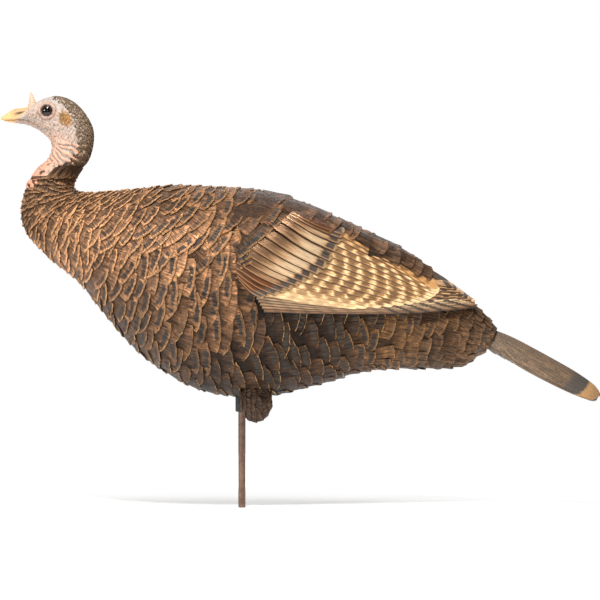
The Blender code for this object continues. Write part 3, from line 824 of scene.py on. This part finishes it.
class Paint:
    """Small helper to write a node material as a chain of calls."""

    def __init__(self, name, roughness=0.5, metallic=0.0, specular=0.5):
        self.material = bpy.data.materials.new(name)
        self.material.use_nodes = True
        self.tree = self.material.node_tree
        self.shader = self.tree.nodes["Principled BSDF"]
        self.set("Roughness", roughness)
        self.set("Metallic", metallic)
        self.set("Specular IOR Level", specular)

    def set(self, name, value):
        """Gives one of the shader's inputs a value, or links it to one."""
        self.feed(self.shader.inputs[name], value)

    def feed(self, socket, value):
        if isinstance(value, Value):
            value = value.socket
        if isinstance(value, bpy.types.NodeSocket):
            self.tree.links.new(value, socket)
        elif isinstance(value, tuple):
            socket.default_value = (*value, 1)
        else:
            socket.default_value = value

    def node(self, kind, inputs=(), **settings):
        node = self.tree.nodes.new(kind)
        for key, value in settings.items():
            setattr(node, key, value)
        for key, value in dict(inputs).items():
            self.feed(node.inputs[key], value)
        return node

    def math(self, operation, first, second=0.0):
        node = self.node("ShaderNodeMath", {0: first, 1: second}, operation=operation)
        return Value(self, node.outputs[0])

    def mix(self, factor, first, second, blend="MIX"):
        node = self.node("ShaderNodeMix", {}, data_type="RGBA", blend_type=blend)
        for index, value in ((0, factor), (6, first), (7, second)):
            self.feed(node.inputs[index], value)
        return Value(self, node.outputs[2])

    def shaded(self, colour, amount):
        """A colour times an amount."""
        return self.mix(1.0, colour, amount, "MULTIPLY")

    def noise(self, vector, scale, detail, roughness):
        inputs = {"Vector": vector, "Scale": scale, "Detail": detail, "Roughness": roughness}
        return Value(self, self.node("ShaderNodeTexNoise", inputs).outputs["Fac"])

    def grain(self, scale, detail=3.0, roughness=0.6):
        """Noise that is fixed to the object."""
        return self.noise(self.node("ShaderNodeTexCoord").outputs["Object"], scale, detail,
                          roughness)

    def attribute(self, name, output):
        node = self.node("ShaderNodeAttribute", attribute_name=name)
        return Value(self, node.outputs[output])

    def bump(self, height, distance, strength):
        inputs = {"Height": height, "Distance": distance, "Strength": strength}
        self.set("Normal", self.node("ShaderNodeBump", inputs).outputs["Normal"])


class FeatherPaint(Paint):
    """Paint that reads its place on a feather, in millimetres across and from the tip."""

    def __init__(self, name, fineness, **finish):
        super().__init__(name, **finish)
        marks = self.node("ShaderNodeSeparateXYZ", {0: self.attribute("feather", "Vector")})
        self.across, self.tip, self.own_seed = (Value(self, end) for end in marks.outputs)
        self.seed = self.own_seed * SEED_SPREAD
        self.tint = self.attribute("tint", "Color")
        self.strength = self.attribute("tint", "Alpha")
        # Fine streaks run along the feather, fanned a little towards its edges.
        fanned = self.across + self.across * self.tip * 0.012
        self.streaks = self.own_noise(fanned * fineness, self.tip * 0.045, 2.0)

    def own_noise(self, x, y, detail, roughness=0.6):
        """Noise that is different on every feather."""
        place = self.node("ShaderNodeCombineXYZ", {"X": x, "Y": y, "Z": self.seed})
        return self.noise(place.outputs[0], 1.0, detail, roughness)

    def blotches(self, across_scale, tip_scale, roughness=0.6):
        return self.own_noise(self.across * across_scale, self.tip * tip_scale, 3.0, roughness)

    def streaked(self, colour, dark, bright, low=0.3, high=0.7):
        return self.shaded(colour, self.streaks.ramp(low, high, dark, bright))

    def uneven_tip(self, noise, amount):
        """Distance from the tip, made uneven by a noise."""
        return self.tip + (noise - 0.5) * amount

    def lip_shaded(self, colour, dark):
        """Painted shade on the lip that is turned down at the tip."""
        return self.mix(self.tip.fade(-0.8, -0.2), colour, dark)

    def finished(self, base, layers, edge, depth, strength=0.8):
        """Lays each layer of paint over the one before it, then painted shade on the lip at the tip.
        """
        for amount, colour in layers:
            base = self.mix(amount, base, colour)
        self.set("Base Color", self.lip_shaded(base, edge))
        self.bump(self.streaks, depth, strength)
        return self.material


def body_paint():
    """Brown, with a dark bar set back from the tip and a thin copper rim."""
    paint = FeatherPaint("feather_paint", 0.55, roughness=0.40, metallic=0.45, specular=0.25)
    streaks = paint.streaks
    blotch = paint.blotches(0.12, 0.16)
    base = paint.streaked(paint.tint, 0.40, 1.85, 0.28, 0.72)
    warmth = paint.mix(blotch.ramp(0.45, 0.75), (0.82, 0.84, 0.84), (1.55, 1.5, 1.45))
    # The bar is broken up by the blotches, and some feathers have a weaker one.
    wobble = paint.uneven_tip(blotch, 7.0)
    narrow = (paint.math("ABSOLUTE", paint.across) + blotch * 10.0).fade(17, 22)
    bar = wobble.ramp(2.2, 3.4) * wobble.fade(7.5, 10.5) * narrow * paint.strength
    bar = bar * paint.math("FRACT", paint.own_seed * 7.3).ramp(0.05, 0.3, 0.3, 1.0)
    barred = paint.mix(bar, paint.shaded(base, warmth), paint.streaked(BAR_BLACK, 0.35, 2.4))
    rim = (paint.tip + streaks * 1.6).fade(1.2, 2.2) * paint.own_seed.ramp(0.1, 0.7, 0.25, 1.0)
    rim = rim * blotch.ramp(0.42, 0.56, 0.1, 1.0)
    bright = paint.shaded(paint.tint, (2.0, 2.0, 2.0))
    copper = paint.mix(paint.strength.ramp(0.4, 0.8), bright, COPPER)
    # Painted shade on the lip that is turned down at each tip.
    lip_shaded = paint.lip_shaded(paint.mix(rim * 0.9, barred, copper), (0.02, 0.011, 0.006))
    paint.set("Base Color", paint.mix(paint.grain(26.0, 4.0).ramp(0.48, 0.75, 0.0, 0.16), lip_shaded, DUST))
    paint.set("Roughness", streaks.ramp(0.2, 0.8, 0.36, 0.56))
    paint.bump(streaks + rim * 0.4, 0.0026, 1.0)
    return paint.material


def covert_paint():
    """Bronze, with a painted highlight in the middle, a sooty band and a tan tip."""
    paint = FeatherPaint("bronze_covert_paint", 0.6, roughness=0.30, metallic=0.55)
    across, wobble = paint.across, paint.uneven_tip(paint.streaks, 6.0)
    # Painted highlight in the middle of each feather, as strong as the tint's fourth value.
    bright = wobble.ramp(15, 22) * wobble.fade(32, 58) * paint.strength
    band = wobble.ramp(2.6, 5.6) * wobble.fade(13.5, 19.0)
    gold_line = across.ramp(4.0, 4.8) * across.fade(5.4, 6.2)
    layers = (
        (bright * 0.85, HIGHLIGHT_BRONZE),
        (paint.tip.ramp(36, 66, 0.0, 0.85), (0.12, 0.058, 0.03)),
        (band, paint.streaked(SOOT, 0.6, 1.5)),
        (wobble.fade(2.8, 4.6), (0.46, 0.27, 0.12)),
        (gold_line * 0.5, (0.50, 0.26, 0.11)),
        # Painted shade in the groove along the feather's side edge.
        (across.ramp(5.5, 6.3), (0.03, 0.016, 0.010)),
    )
    paint.set("Metallic", band.ramp(0.0, 1.0, 0.6, 0.0))
    paint.set("Roughness", paint.streaks.ramp(0.2, 0.8, 0.24, 0.40))
    base = paint.streaked(paint.tint, 0.65, 1.35)
    return paint.finished(base, layers, (0.03, 0.018, 0.011), 0.0016)


def checker_paint():
    """Rows of oval brown spots with golden rims in a pale net."""
    paint = FeatherPaint("buff_checker_paint", 0.6, roughness=0.42, metallic=0.05)
    across, tip = paint.across, paint.tip
    shift = (paint.blotches(0.16, 0.08) - 0.5) * 20.0
    lengthwise = tip + shift + paint.own_seed * SPOT_SPACING
    turn = paint.math("FRACT", lengthwise * (1 / SPOT_SPACING))
    from_spot = (turn - 0.5) * (SPOT_SPACING / SPOT_HALF_LENGTH)
    off_axis = (across - 0.8) * (1 / SPOT_HALF_WIDTH)
    oval = paint.math("SQRT", from_spot * from_spot + off_axis * off_axis)
    oval = oval + (paint.streaks - 0.5) * 0.9
    spotted = tip.ramp(8, 16) * paint.strength
    layers = (
        (oval.fade(1.1, 1.5) * spotted * 0.85, SPOT_GOLD),
        (oval.fade(0.70, 1.12) * spotted * 0.92, paint.streaked(SPOT_BROWN, 0.6, 1.5)),
        (tip.ramp(110, 165, 0.0, 0.5), (0.30, 0.17, 0.075)),
        # Painted shade in the groove along the feather's side edge.
        (across.ramp(5.2, 6.6, 0.0, 0.9), (0.06, 0.03, 0.014)),
    )
    base = paint.streaked(paint.tint, 0.72, 1.25, high=0.72)
    return paint.finished(base, layers, (0.05, 0.028, 0.014), 0.0014)


def primary_paint():
    """Pale, with dark bars near the tips and, more faintly, along the darker feathers."""
    paint = FeatherPaint("barred_primary_paint", 0.8, roughness=0.42, metallic=0.1)
    across = paint.across
    slanted = paint.tip + paint.own_seed * SPOT_SPACING + across * 0.9 + paint.streaks * 7.0
    wave = paint.math("SINE", slanted * (2 * math.pi / SPOT_SPACING))
    near = paint.math("MINIMUM", paint.tip.fade(95, 125) + paint.strength * 0.4, 1.0)
    layers = (
        (wave.ramp(0.0, 0.6) * near * 0.9, (0.035, 0.025, 0.019)),
        # Painted shade along one side of the feather, out to its edge.
        (across.ramp(1.2, 2.2, 0.0, 0.9) * across.fade(3.4, 3.6), (0.05, 0.027, 0.014)),
    )
    base = paint.streaked(paint.tint, 0.5, 1.45, high=0.72)
    return paint.finished(base, layers, (0.04, 0.024, 0.014), 0.0014)


def tail_paint():
    """Grey-brown, with fine dark ripples, a dark band and a tan tip."""
    paint = FeatherPaint("tail_paint", 0.55, roughness=0.5, metallic=0.08)
    ripple = paint.blotches(0.25, 0.55, 0.65)
    wobble = paint.uneven_tip(ripple, 8.0)
    rippled = paint.mix(ripple.ramp(0.42, 0.62, 0.0, 0.6), paint.tint, (0.085, 0.06, 0.04))
    band = wobble.ramp(20, 24) * wobble.fade(40, 52) * paint.strength
    layers = (
        (band * 0.85, (0.060, 0.052, 0.045)),
        (wobble.fade(20, 25) * paint.strength * 0.8, TAIL_TAN),
    )
    base = paint.streaked(rippled, 0.5, 1.5, high=0.72)
    return paint.finished(base, layers, (0.04, 0.026, 0.016), 0.0018, 0.9)


def groove_shade_paint():
    """Dark wash and painted shade in the grooves, on the moulded shell under the feathers."""
    paint = Paint("groove_wash_and_shade", roughness=0.6, metallic=0.1)
    wash_and_shade = paint.mix(paint.grain(60.0, 5.0), (0.030, 0.018, 0.011), (0.10, 0.058, 0.032))
    paint.set("Base Color", wash_and_shade)
    paint.bump(paint.grain(420.0), 0.0006, 0.5)
    return paint.material


def plain_paint(name, dark, light, roughness, metallic=0.0):
    """Moulded plastic, rubber, nylon or painted steel with its own fine grain."""
    paint = Paint(name, roughness=roughness, metallic=metallic)
    grain = paint.grain(120.0, 4.0)
    paint.set("Base Color", paint.mix(grain.ramp(0.3, 0.7), dark, light))
    paint.set("Roughness", grain.ramp(0.2, 0.8, roughness - 0.06, roughness + 0.08))
    paint.bump(grain, 0.0003, 0.6)
    return paint.material


def skin_paint():
    """Painted skin: its colours come with the mesh, pores and fine speckle from noise."""
    paint = Paint("skin_paint", roughness=0.46, specular=0.4)
    fine, mottle = paint.grain(800.0, 4.0, 0.65), paint.grain(330.0)
    base = paint.shaded(paint.attribute("tint", "Color"), fine.ramp(0.3, 0.7, 0.84, 1.12))
    paint.set("Base Color", paint.shaded(base, mottle.ramp(0.3, 0.7, 0.88, 1.08)))
    paint.bump(fine + mottle, 0.0005, 0.7)
    return paint.material


def eye_paint():
    """Clear-coated glass eye."""
    paint = Paint("eye_gloss", roughness=0.03, specular=0.15)
    tone = paint.grain(900.0, 3.0, 0.55).ramp(0.3, 0.7, 0.5, 1.5)
    paint.set("Base Color", paint.shaded(paint.attribute("tint", "Color"), tone))
    paint.set("Coat Weight", 0.6)
    return paint.material


# ---------------------------------------------------------------- head

def grid_object(name, points, tints, material, closed_across=True):
    """Rows and columns of points as one surface, or as a tube that is closed at its last row."""
    rows, columns = points.shape[:2]
    index = np.arange(rows * columns).reshape(rows, columns)
    following = np.roll(index, -1, axis=1)
    quads = np.stack([index[:-1], following[:-1], following[1:], index[1:]], axis=-1)
    if not closed_across:
        quads = quads[:, :-1]
    faces = quads.reshape(-1, 4).tolist()
    if closed_across:
        faces.append(index[-1][::-1].tolist())
    return add_mesh(name, points, faces, (("tint", "FLOAT_COLOR", "color", tints),), material)


def waves(x, z, rng, count, wavelength):
    """Sum of sine waves in random directions, between about -1 and 1."""
    total = np.zeros_like(x)
    for _ in range(count):
        way = rng.uniform(-math.pi, math.pi) / 2
        size = wavelength * rng.uniform(0.7, 1.4)
        phase = rng.uniform(0, 2 * math.pi)
        total += np.sin((x * math.cos(way) + z * math.sin(way)) * 2 * math.pi / size + phase)
    return total / count ** 0.5


def mottles(x, y, z, rng, wavelength, sharp=1.0):
    """Uneven spots between 0 and 1 that don't line up with any axis."""
    total = waves(x + 0.4 * y, z, rng, 6, wavelength) + waves(y + 0.3 * x, z, rng, 4, wavelength)
    return smooth_step(-sharp, sharp, total)


def hair_edge(place):
    """Half width, in degrees, of the hairy band down the back of the head."""
    band = np.array(HAIR_BAND, float)
    return np.interp(place, band[:, 0], band[:, 1])


def feather_line(x):
    """Height of the slanting line on the neck where feathers give way to skin."""
    return 449.5 + 0.392 * (x + 213.7)


def lay_colours(colour, layers):
    """Paints each layer's colour over the array of colours, by its amount."""
    for amount, paint in layers:
        colour += np.clip(amount, 0, 1)[..., None] * (np.array(paint) - colour)


def skin_colour(x, y, z, rng):
    """Pale skin, bluish on the crown, flushed and freckled elsewhere."""
    colour = np.array(linear(182, 160, 146)) + 0 * x[..., None]
    lay_colours(colour, (
        (0.6 * mottles(x, y, z, rng, 15), linear(176, 166, 158)),
        (0.4 * mottles(x, y, z, rng, 9, 0.7), linear(216, 182, 160)),
        (0.25 * mottles(x, y, z, rng, 4.0, 0.6), linear(176, 152, 134)),
        (0.6 * smooth_step(526, 540, z), linear(172, 162, 154)),
    ))
    colour[..., :3] *= 0.87
    return colour


def add_pits(x, y, z, rng, height, colour):
    """Dark pores and short bristles scattered over the cheeks and the upper neck."""
    shade = np.array(linear(104, 76, 54))
    for _ in range(PIT_COUNT):
        px, pz = rng.uniform(-284, -206), rng.uniform(462, 520)
        size = rng.uniform(0.5, 0.9)
        gap = ((x - px) / size) ** 2 + ((z - pz) / (size * 1.5)) ** 2
        amount = np.exp(-gap) * rng.uniform(0.3, 0.85) * (rng.uniform(-1, 1) * y > 0)
        height -= 0.6 * amount
        colour += amount[..., None] * (shade - colour)


def neck_relief(x, y, z, angle, rng):
    """Fleshy lumps at the front, and ridges with dark furrows that fan out down the neck: the dark in
    the furrows and between the lumps is painted shade.
    """
    front = (1 - np.cos(angle)) / 2
    lumps = smooth_step(462, 446, z) * smooth_step(0.62, 0.8, front)
    pebble = mottles(x * 1.2, y, z, rng, 5.5)
    fan_x, fan_z = x - RIDGE_CENTRE[0], RIDGE_CENTRE[1] - z
    ridge = np.cos(36 * np.arctan2(fan_z, fan_x) + 0.8 * np.sin(x * 0.3) + 0.8 * np.sin(z * 0.35))
    low = smooth_step(20, 30, np.hypot(fan_x, fan_z)) * smooth_step(484, 476, z) * (1 - lumps)
    flush = smooth_step(500, 486, z) * smooth_step(0.4, 0.8, front)
    layers = (
        (0.45 * flush, linear(226, 178, 150)),
        (0.9 * low * smooth_step(0.0, 0.7, ridge), linear(226, 164, 132)),
        (0.75 * low * smooth_step(0.0, -0.7, ridge), linear(134, 122, 114)),
        (lumps * smooth_step(0.35, 0.7, pebble), linear(222, 156, 128)),
        (lumps * smooth_step(0.4, 0.1, pebble), linear(92, 66, 50)),
    )
    return lumps * (2.0 * pebble - 0.6) + 0.9 * ridge * low, layers


def beak_relief(x, z, angle, on_beak, side_on):
    """Arched beak with its nostril and the line of the mouth."""
    line = z - (NOSTRIL[1] + 0.3 * (x - NOSTRIL[0]))
    nostril = np.exp(-(((x - NOSTRIL[0]) / 5.5) ** 2 + (line / 1.2) ** 2) ** 1.5) * side_on
    mouth_z = np.interp(x, *zip(*MOUTH))
    mouth = np.exp(-((z - mouth_z) / 0.8) ** 2) * smooth_step(-262, -268, x) * side_on
    up = np.cos(angle)
    arch = 2.9 * smooth_step(-0.1, 0.7, up) + 0.9 * smooth_step(0.1, -0.7, up)
    height = np.exp(-((x + 300) / 9.5) ** 2) * arch - 1.2 * nostril - mouth
    ridge = smooth_step(7, 2, np.abs(line)) * smooth_step(-306, -296, x)
    layers = (
        (on_beak, linear(226, 178, 118)),
        (0.8 * on_beak * ridge, linear(168, 138, 102)),
        # Painted shade in the nostril and along the line of the mouth.
        (nostril, linear(66, 50, 38)),
        (mouth * 0.75, linear(122, 92, 66)),
    )
    return height, layers


def eye_relief(x, z, side_on):
    """Swollen lid, the crease round it and the hollow under the eyeball; the crease and the hollow are
    painted darker, as painted shade.
    """
    gap = np.hypot(x - EYE[0], (z - EYE[1]) * 1.03)
    lid = np.exp(-((gap - EYE_RADIUS) / 1.3) ** 2) * side_on
    crease = np.exp(-((gap - CREASE_RADIUS) / 1.0) ** 2) * side_on
    socket = np.exp(-(gap / 8.2) ** 6) * side_on
    layers = (
        (lid * 0.7, linear(202, 162, 140)),
        (crease * 0.7, linear(160, 128, 108)),
        (socket, linear(52, 38, 32)),
    )
    return 1.5 * lid - 1.6 * socket - 0.7 * crease, layers


def ear_relief(x, z, side_on, wrinkles):
    """Tuft of brown bristles over the ear."""
    dx, dz = x - EAR[0], z - EAR[1]
    gap = np.hypot(dx * 0.95 + 0.3 * dz, dz * 0.85)
    ear = smooth_step(9.8, 6.0, gap + 3.0 * wrinkles) * side_on
    layers = (
        (ear, linear(158, 112, 60)),
        (ear * smooth_step(-230, -238, x) * 0.6, linear(112, 96, 62)),
    )
    return ear * (0.8 + 0.7 * np.sin(x * 3.1 + 0.8 * np.sin(z))), layers


def head_relief(x, y, z, place, angle):
    """Height of the skin over the smooth head, and its colour."""
    rng = np.random.default_rng(5)
    side_on = smooth_step(0.15, 0.6, np.abs(np.sin(angle)))
    on_beak = smooth_step(8.4, 9.6, place)
    wrinkles = waves(x, z + 0.6 * y, rng, 7, 6.0) * 0.4 + waves(x, z - 0.5 * y, rng, 7, 3.0) * 0.3
    height = wrinkles * (1 - on_beak)
    features = (
        neck_relief(x, y, z, angle, rng),
        beak_relief(x, z, angle, on_beak, side_on),
        eye_relief(x, z, side_on),
        ear_relief(x, z, side_on, wrinkles),
    )
    colour = skin_colour(x, y, z, rng)
    for change, layers in features:
        height += change
        lay_colours(colour, layers)
    add_pits(x, y, z, rng, height, colour)
    haired = smooth_step(9, -16, np.abs(np.degrees(wrapped(angle))) - hair_edge(place) + 6 * wrinkles)
    haired = np.maximum(haired, smooth_step(2, -3, z - feather_line(x)))
    thin_hair = mottles(x, y, z, rng, 2.6)
    olive = np.array(linear(140, 119, 96)) * (0.6 + 0.8 * thin_hair[..., None])
    colour += haired[..., None] * (olive - colour)
    return height, colour


def head_mesh(surface, material):
    """Whole skin of head, neck and beak, turned in at the neck's base."""
    place, angle = grid(np.linspace(0, surface.last, 300), full_turn(260))
    point, _, _, normal = surface.basis(place, angle)
    height, colour = head_relief(point[..., 0], point[..., 1], point[..., 2], place, angle)
    fade = smooth_step(0, 0.15, place)
    points = point + normal * (height * fade)[..., None]
    centre = point[0].mean(axis=0)
    lip = centre + (point[0] - centre) * 0.88
    deep = lip + np.array((6, 0, 14.0))
    points = np.concatenate([deep[None], lip[None], points], axis=0)
    colour = np.concatenate([colour[:1], colour[:1], colour], axis=0)
    return grid_object("head_skin", points, colour, material)


def eyeball(name, side, material):
    """Glossy eye: a dome with a black pupil and a dark brown iris."""
    polar, turn = grid(np.linspace(0, 0.62 * math.pi, 24), full_turn(48))
    reach = EYE_RADIUS * np.sin(polar)
    x = EYE[0] + reach * np.cos(turn)
    z = EYE[1] + reach * np.sin(turn)
    y = side * (EYE_SEAT + EYE_RADIUS * np.cos(polar))
    share = reach / EYE_RADIUS
    iris = np.array(linear(46, 28, 18))
    tints = iris * (smooth_step(0.42, 0.5, share) * smooth_step(0.86, 0.74, share))[..., None]
    tints = tints + np.array(linear(8, 7, 6))
    points = np.stack([x, y, z], axis=-1)
    if side == RIGHT:
        points, tints = points[:, ::-1], tints[:, ::-1]
    return grid_object(name, points[::-1], tints[::-1], material)


def lay_hair(patches, surface, rng):
    """Hair-like feathers from the crown down the nape."""
    count = 2600
    place = rng.uniform(0.5, 7.5, count)
    edge = hair_edge(place)
    angle = rng.uniform(-1, 1, count) * (edge + 5)
    place, angle = place[edge > 3], np.radians(angle[edge > 3])
    size = rng.uniform(0.8, 1.25, len(place))
    low = smooth_step(3, 1, place)
    hair, dark = np.array(linear(150, 128, 104, 0.05)), np.array(linear(100, 76, 56, 0.05))
    share = rng.uniform(0.2, 0.7, len(place)) + 0.3 * low
    tints = hair + share[:, None] * (dark - hair)
    lay_scales(patches, surface, place, angle, rng.uniform(-0.35, 0.35, len(place)),
               3.4 * size, size, 0.5 + 0.5 * low, 0.4, tints, rng,
               blunt=1.6, crown=0.25, lip=0.6, ridge=0.05, ragged=0.0, rows=4, columns=2,
               backwards=True)


def lay_neck_ruff(patches, rng):
    """Feathers round the neck's base, below the slanting edge of the bare skin.

    They are laid on a loft that runs on over the top of the body, and hide the joint.
    """
    surface = Loft((*BODY_SECTIONS[2:0:-1], *HEAD_SECTIONS[:5]))
    spots = []
    for number, place in enumerate(np.arange(3.44, 1.35, -0.26)):
        for k in range(20):
            spots.append((place, wrapped(staggered(number, k, 20, rng.uniform(-0.2, 0.2)))))
    place, angle = np.array(spots).T
    point = surface.point(place, angle)
    keep = point[:, 2] < feather_line(point[:, 0]) - 1
    place, angle = place[keep], angle[keep]
    rise = np.interp(place, (1.4, 2.0, 2.6), (3.9, 2.3, 1.1))
    tints = varied([linear(122, 90, 64, 0.2)] * len(place), rng, 0.2)
    lay_scales(patches, surface, place, angle, rng.uniform(-0.15, 0.15, len(place)), 5.5, 5.2,
               rise, 0.9, tints, rng, blunt=0.4, crown=0.5, lip=0.9, overlap=1.35, ridge=0.2,
               ragged=0.6, columns=8, backwards=True)


def caruncles(surface, material):
    """Fleshy pink lumps down the front of the neck's base, among the first feathers, with painted
    shade in the gaps between them.
    """
    rng = np.random.default_rng(8)
    place, angle = grid(np.linspace(0.05, 2.5, 90), np.radians(np.linspace(108, 252, 150)))
    point = surface.point(place, angle)
    pebble = mottles(point[..., 0] * 1.2, point[..., 1], point[..., 2], rng, 6.0)
    away = np.maximum(np.abs(np.degrees(angle) - 180) / 70, (place - 0.2) / 2.2)
    height = -2.5 + 6.2 * smooth_step(1.0, 0.6, away) * (0.25 + 0.75 * pebble)
    height = np.minimum(height, np.interp(place, (0.05, 0.7, 1.3), (-2.5, 0.3, 5)))
    pink, dark = np.array(linear(222, 154, 124)), np.array(linear(92, 66, 50))
    tints = dark + smooth_step(0.35, 0.65, pebble)[..., None] * (pink - dark)
    points = surface.raised(place, angle, height)
    return grid_object("caruncles", points, tints, material, closed_across=False)


def snood(material):
    """Fleshy spike over the beak, bent a little forward, with ring wrinkles."""
    t, angle = grid(np.linspace(0, 1, 40), full_turn(28))
    radius = np.interp(t, (0, 0.15, 0.4, 0.7, 0.9, 1), (7.6, 6.2, 4.7, 2.8, 1.3, 0.3))
    radius = radius * (1 + 0.05 * np.sin(t * 46) * (t < 0.9))
    x = -276.2 - 2.4 * t ** 2 + radius * np.cos(angle)
    y = radius * np.sin(angle) * 0.9
    points = np.stack([x, y, 525 + 23.5 * t], axis=-1)
    tint = np.array(linear(214, 170, 142)) + 0 * points[..., :1]
    return grid_object("snood", points, tint, material)


# ---------------------------------------------------------------- staging

def round_floor():
    """Pale disc under the decoy, no wider than the lights reach."""
    ring = [(FLOOR_RADIUS * math.cos(t), FLOOR_RADIUS * math.sin(t), 0) for t in full_turn(96)]
    mesh = bpy.data.meshes.new("floor")
    mesh.from_pydata(ring, [], [tuple(range(len(ring)))])
    paint = Paint("pale_floor", roughness=0.9, specular=0.1)
    paint.set("Base Color", (0.93, 0.93, 0.93))
    paint.set("Emission Color", (1, 1, 1))
    paint.set("Emission Strength", 0.35)
    mesh.materials.append(paint.material)
    add_object("floor", mesh)


def area_light(name, place, size, power):
    """Round soft light that points at the middle of the decoy."""
    data = bpy.data.lights.new(name, "AREA")
    data.shape = "DISK"
    data.size = size
    data.energy = power
    lamp = add_object(name, data)
    lamp.location = place
    lamp.rotation_mode = "QUATERNION"
    lamp.rotation_quaternion = (Vector(LIGHT_AIM) - Vector(place)).to_track_quat("-Z", "Y")


def white_world():
    """White for the camera, and a weak even light on everything else."""
    world = bpy.data.worlds.new("studio")
    world.use_nodes = True
    tree = world.node_tree
    tree.nodes["Background"].inputs["Color"].default_value = (1, 1, 1, 1)
    rays = tree.nodes.new("ShaderNodeLightPath")
    bright = tree.nodes.new("ShaderNodeMapRange")
    bright.inputs["To Min"].default_value = 0.26
    bright.inputs["To Max"].default_value = 1.0
    tree.links.new(rays.outputs["Is Camera Ray"], bright.inputs["Value"])
    tree.links.new(bright.outputs["Result"], tree.nodes["Background"].inputs["Strength"])
    bpy.context.scene.world = world


def lights_and_camera():
    white_world()
    area_light("key", (-0.1, -1.5, 2.4), 0.6, 76)
    area_light("top", (0.0, -0.3, 2.6), 1.2, 20)
    area_light("fill", (-2.0, -1.9, 0.9), 0.8, 34)
    area_light("back", (0.4, 2.4, 1.6), 1.5, 12)
    camera = bpy.data.cameras.new("camera")
    camera.sensor_width = SENSOR_WIDTH
    camera.lens = SENSOR_WIDTH * VIEW_DISTANCE / VIEW_WIDTH
    camera.clip_end = 60
    item = add_object("camera", camera)
    item.location = (VIEW_CENTRE[0], -VIEW_DISTANCE, VIEW_CENTRE[1])
    item.rotation_euler = (math.pi / 2, 0, 0)
    scene = bpy.context.scene
    scene.camera = item
    scene.view_settings.view_transform = "Standard"


# ---------------------------------------------------------------- assembly

def add_piece(item, body, slot, *replaced):
    """Rides a piece on a body and hides the CAD nodes that it stands for. The slot is not used."""
    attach(item, body)
    if replaced:
        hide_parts(*replaced)


def dress_hardware(frame):
    """Gives every CAD node its own paint, plastic, rubber or nylon."""
    plastic = plain_paint("grey_plastic", (0.10, 0.095, 0.09), (0.16, 0.15, 0.14), 0.5)
    rubber = plain_paint("black_rubber", (0.012, 0.012, 0.012), (0.035, 0.033, 0.031), 0.75)
    nylon = plain_paint("white_nylon", (0.62, 0.62, 0.58), (0.72, 0.72, 0.68), 0.38)
    stake = plain_paint("stake_paint", (0.10, 0.052, 0.034), (0.20, 0.115, 0.078), 0.42, 0.3)
    fan = plain_paint("tail_underside", (0.07, 0.048, 0.033), (0.24, 0.15, 0.09), 0.5)
    groove = groove_shade_paint()
    finishes = {
        "stake_rod": stake, "stake_point": stake, "stake_collar": rubber,
        "neck_friction_ring": rubber, "pivot_cap": nylon, "body_shell": groove,
        "wing_left": groove, "wing_right": groove, "tail_fan": fan,
    }
    for name, item in frame["nodes"].items():
        item.data.materials.clear()
        item.data.materials.append(finishes.get(name, plastic))


def main():
    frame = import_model()
    lights_and_camera()
    round_floor()
    dress_hardware(frame)

    body = Loft(BODY_SECTIONS)
    head = Loft(HEAD_SECTIONS)
    wing = Wing(body)
    rng = np.random.default_rng(3)

    plumage = body_paint()
    for name, upper in (("upper_body_feathers", True), ("lower_body_feathers", False)):
        add_piece(body_feathers(body, upper).build(name, plumage), "decoy", "body_feather")
    groups = (
        ("coverts", wing_coverts(wing, rng), covert_paint()),
        ("secondaries", wing_secondaries(wing, rng), checker_paint()),
        ("primaries", wing_primaries(wing, rng), primary_paint()),
    )
    for side_name, mirror in (("left", False), ("right", True)):
        for group_name, patches, material in groups:
            item = patches.build(f"wing_{side_name}_{group_name}", material, mirror)
            add_piece(item, "decoy", "wing_feather")
    tail = tail_feathers(Roof(), rng).build("tail_feathers", tail_paint())
    add_piece(tail, "tail", "tail_feather")

    skin = skin_paint()
    add_piece(head_mesh(head, skin), "head", "head_skin", "head_shell")
    add_piece(snood(skin), "head", "head_skin")
    add_piece(caruncles(body, skin), "decoy", "head_skin")
    glass = eye_paint()
    for name, side in (("left", LEFT), ("right", RIGHT)):
        add_piece(eyeball(f"eyeball_{name}", side, glass), "head", "eye_gloss", f"eye_{name}")
    hair, ruff = Patches(), Patches()
    lay_hair(hair, head, rng)
    lay_neck_ruff(ruff, rng)
    add_piece(hair.build("nape_hair", skin), "head", "head_skin")
    add_piece(ruff.build("neck_ruff", plumage), "head", "body_feather")


main()
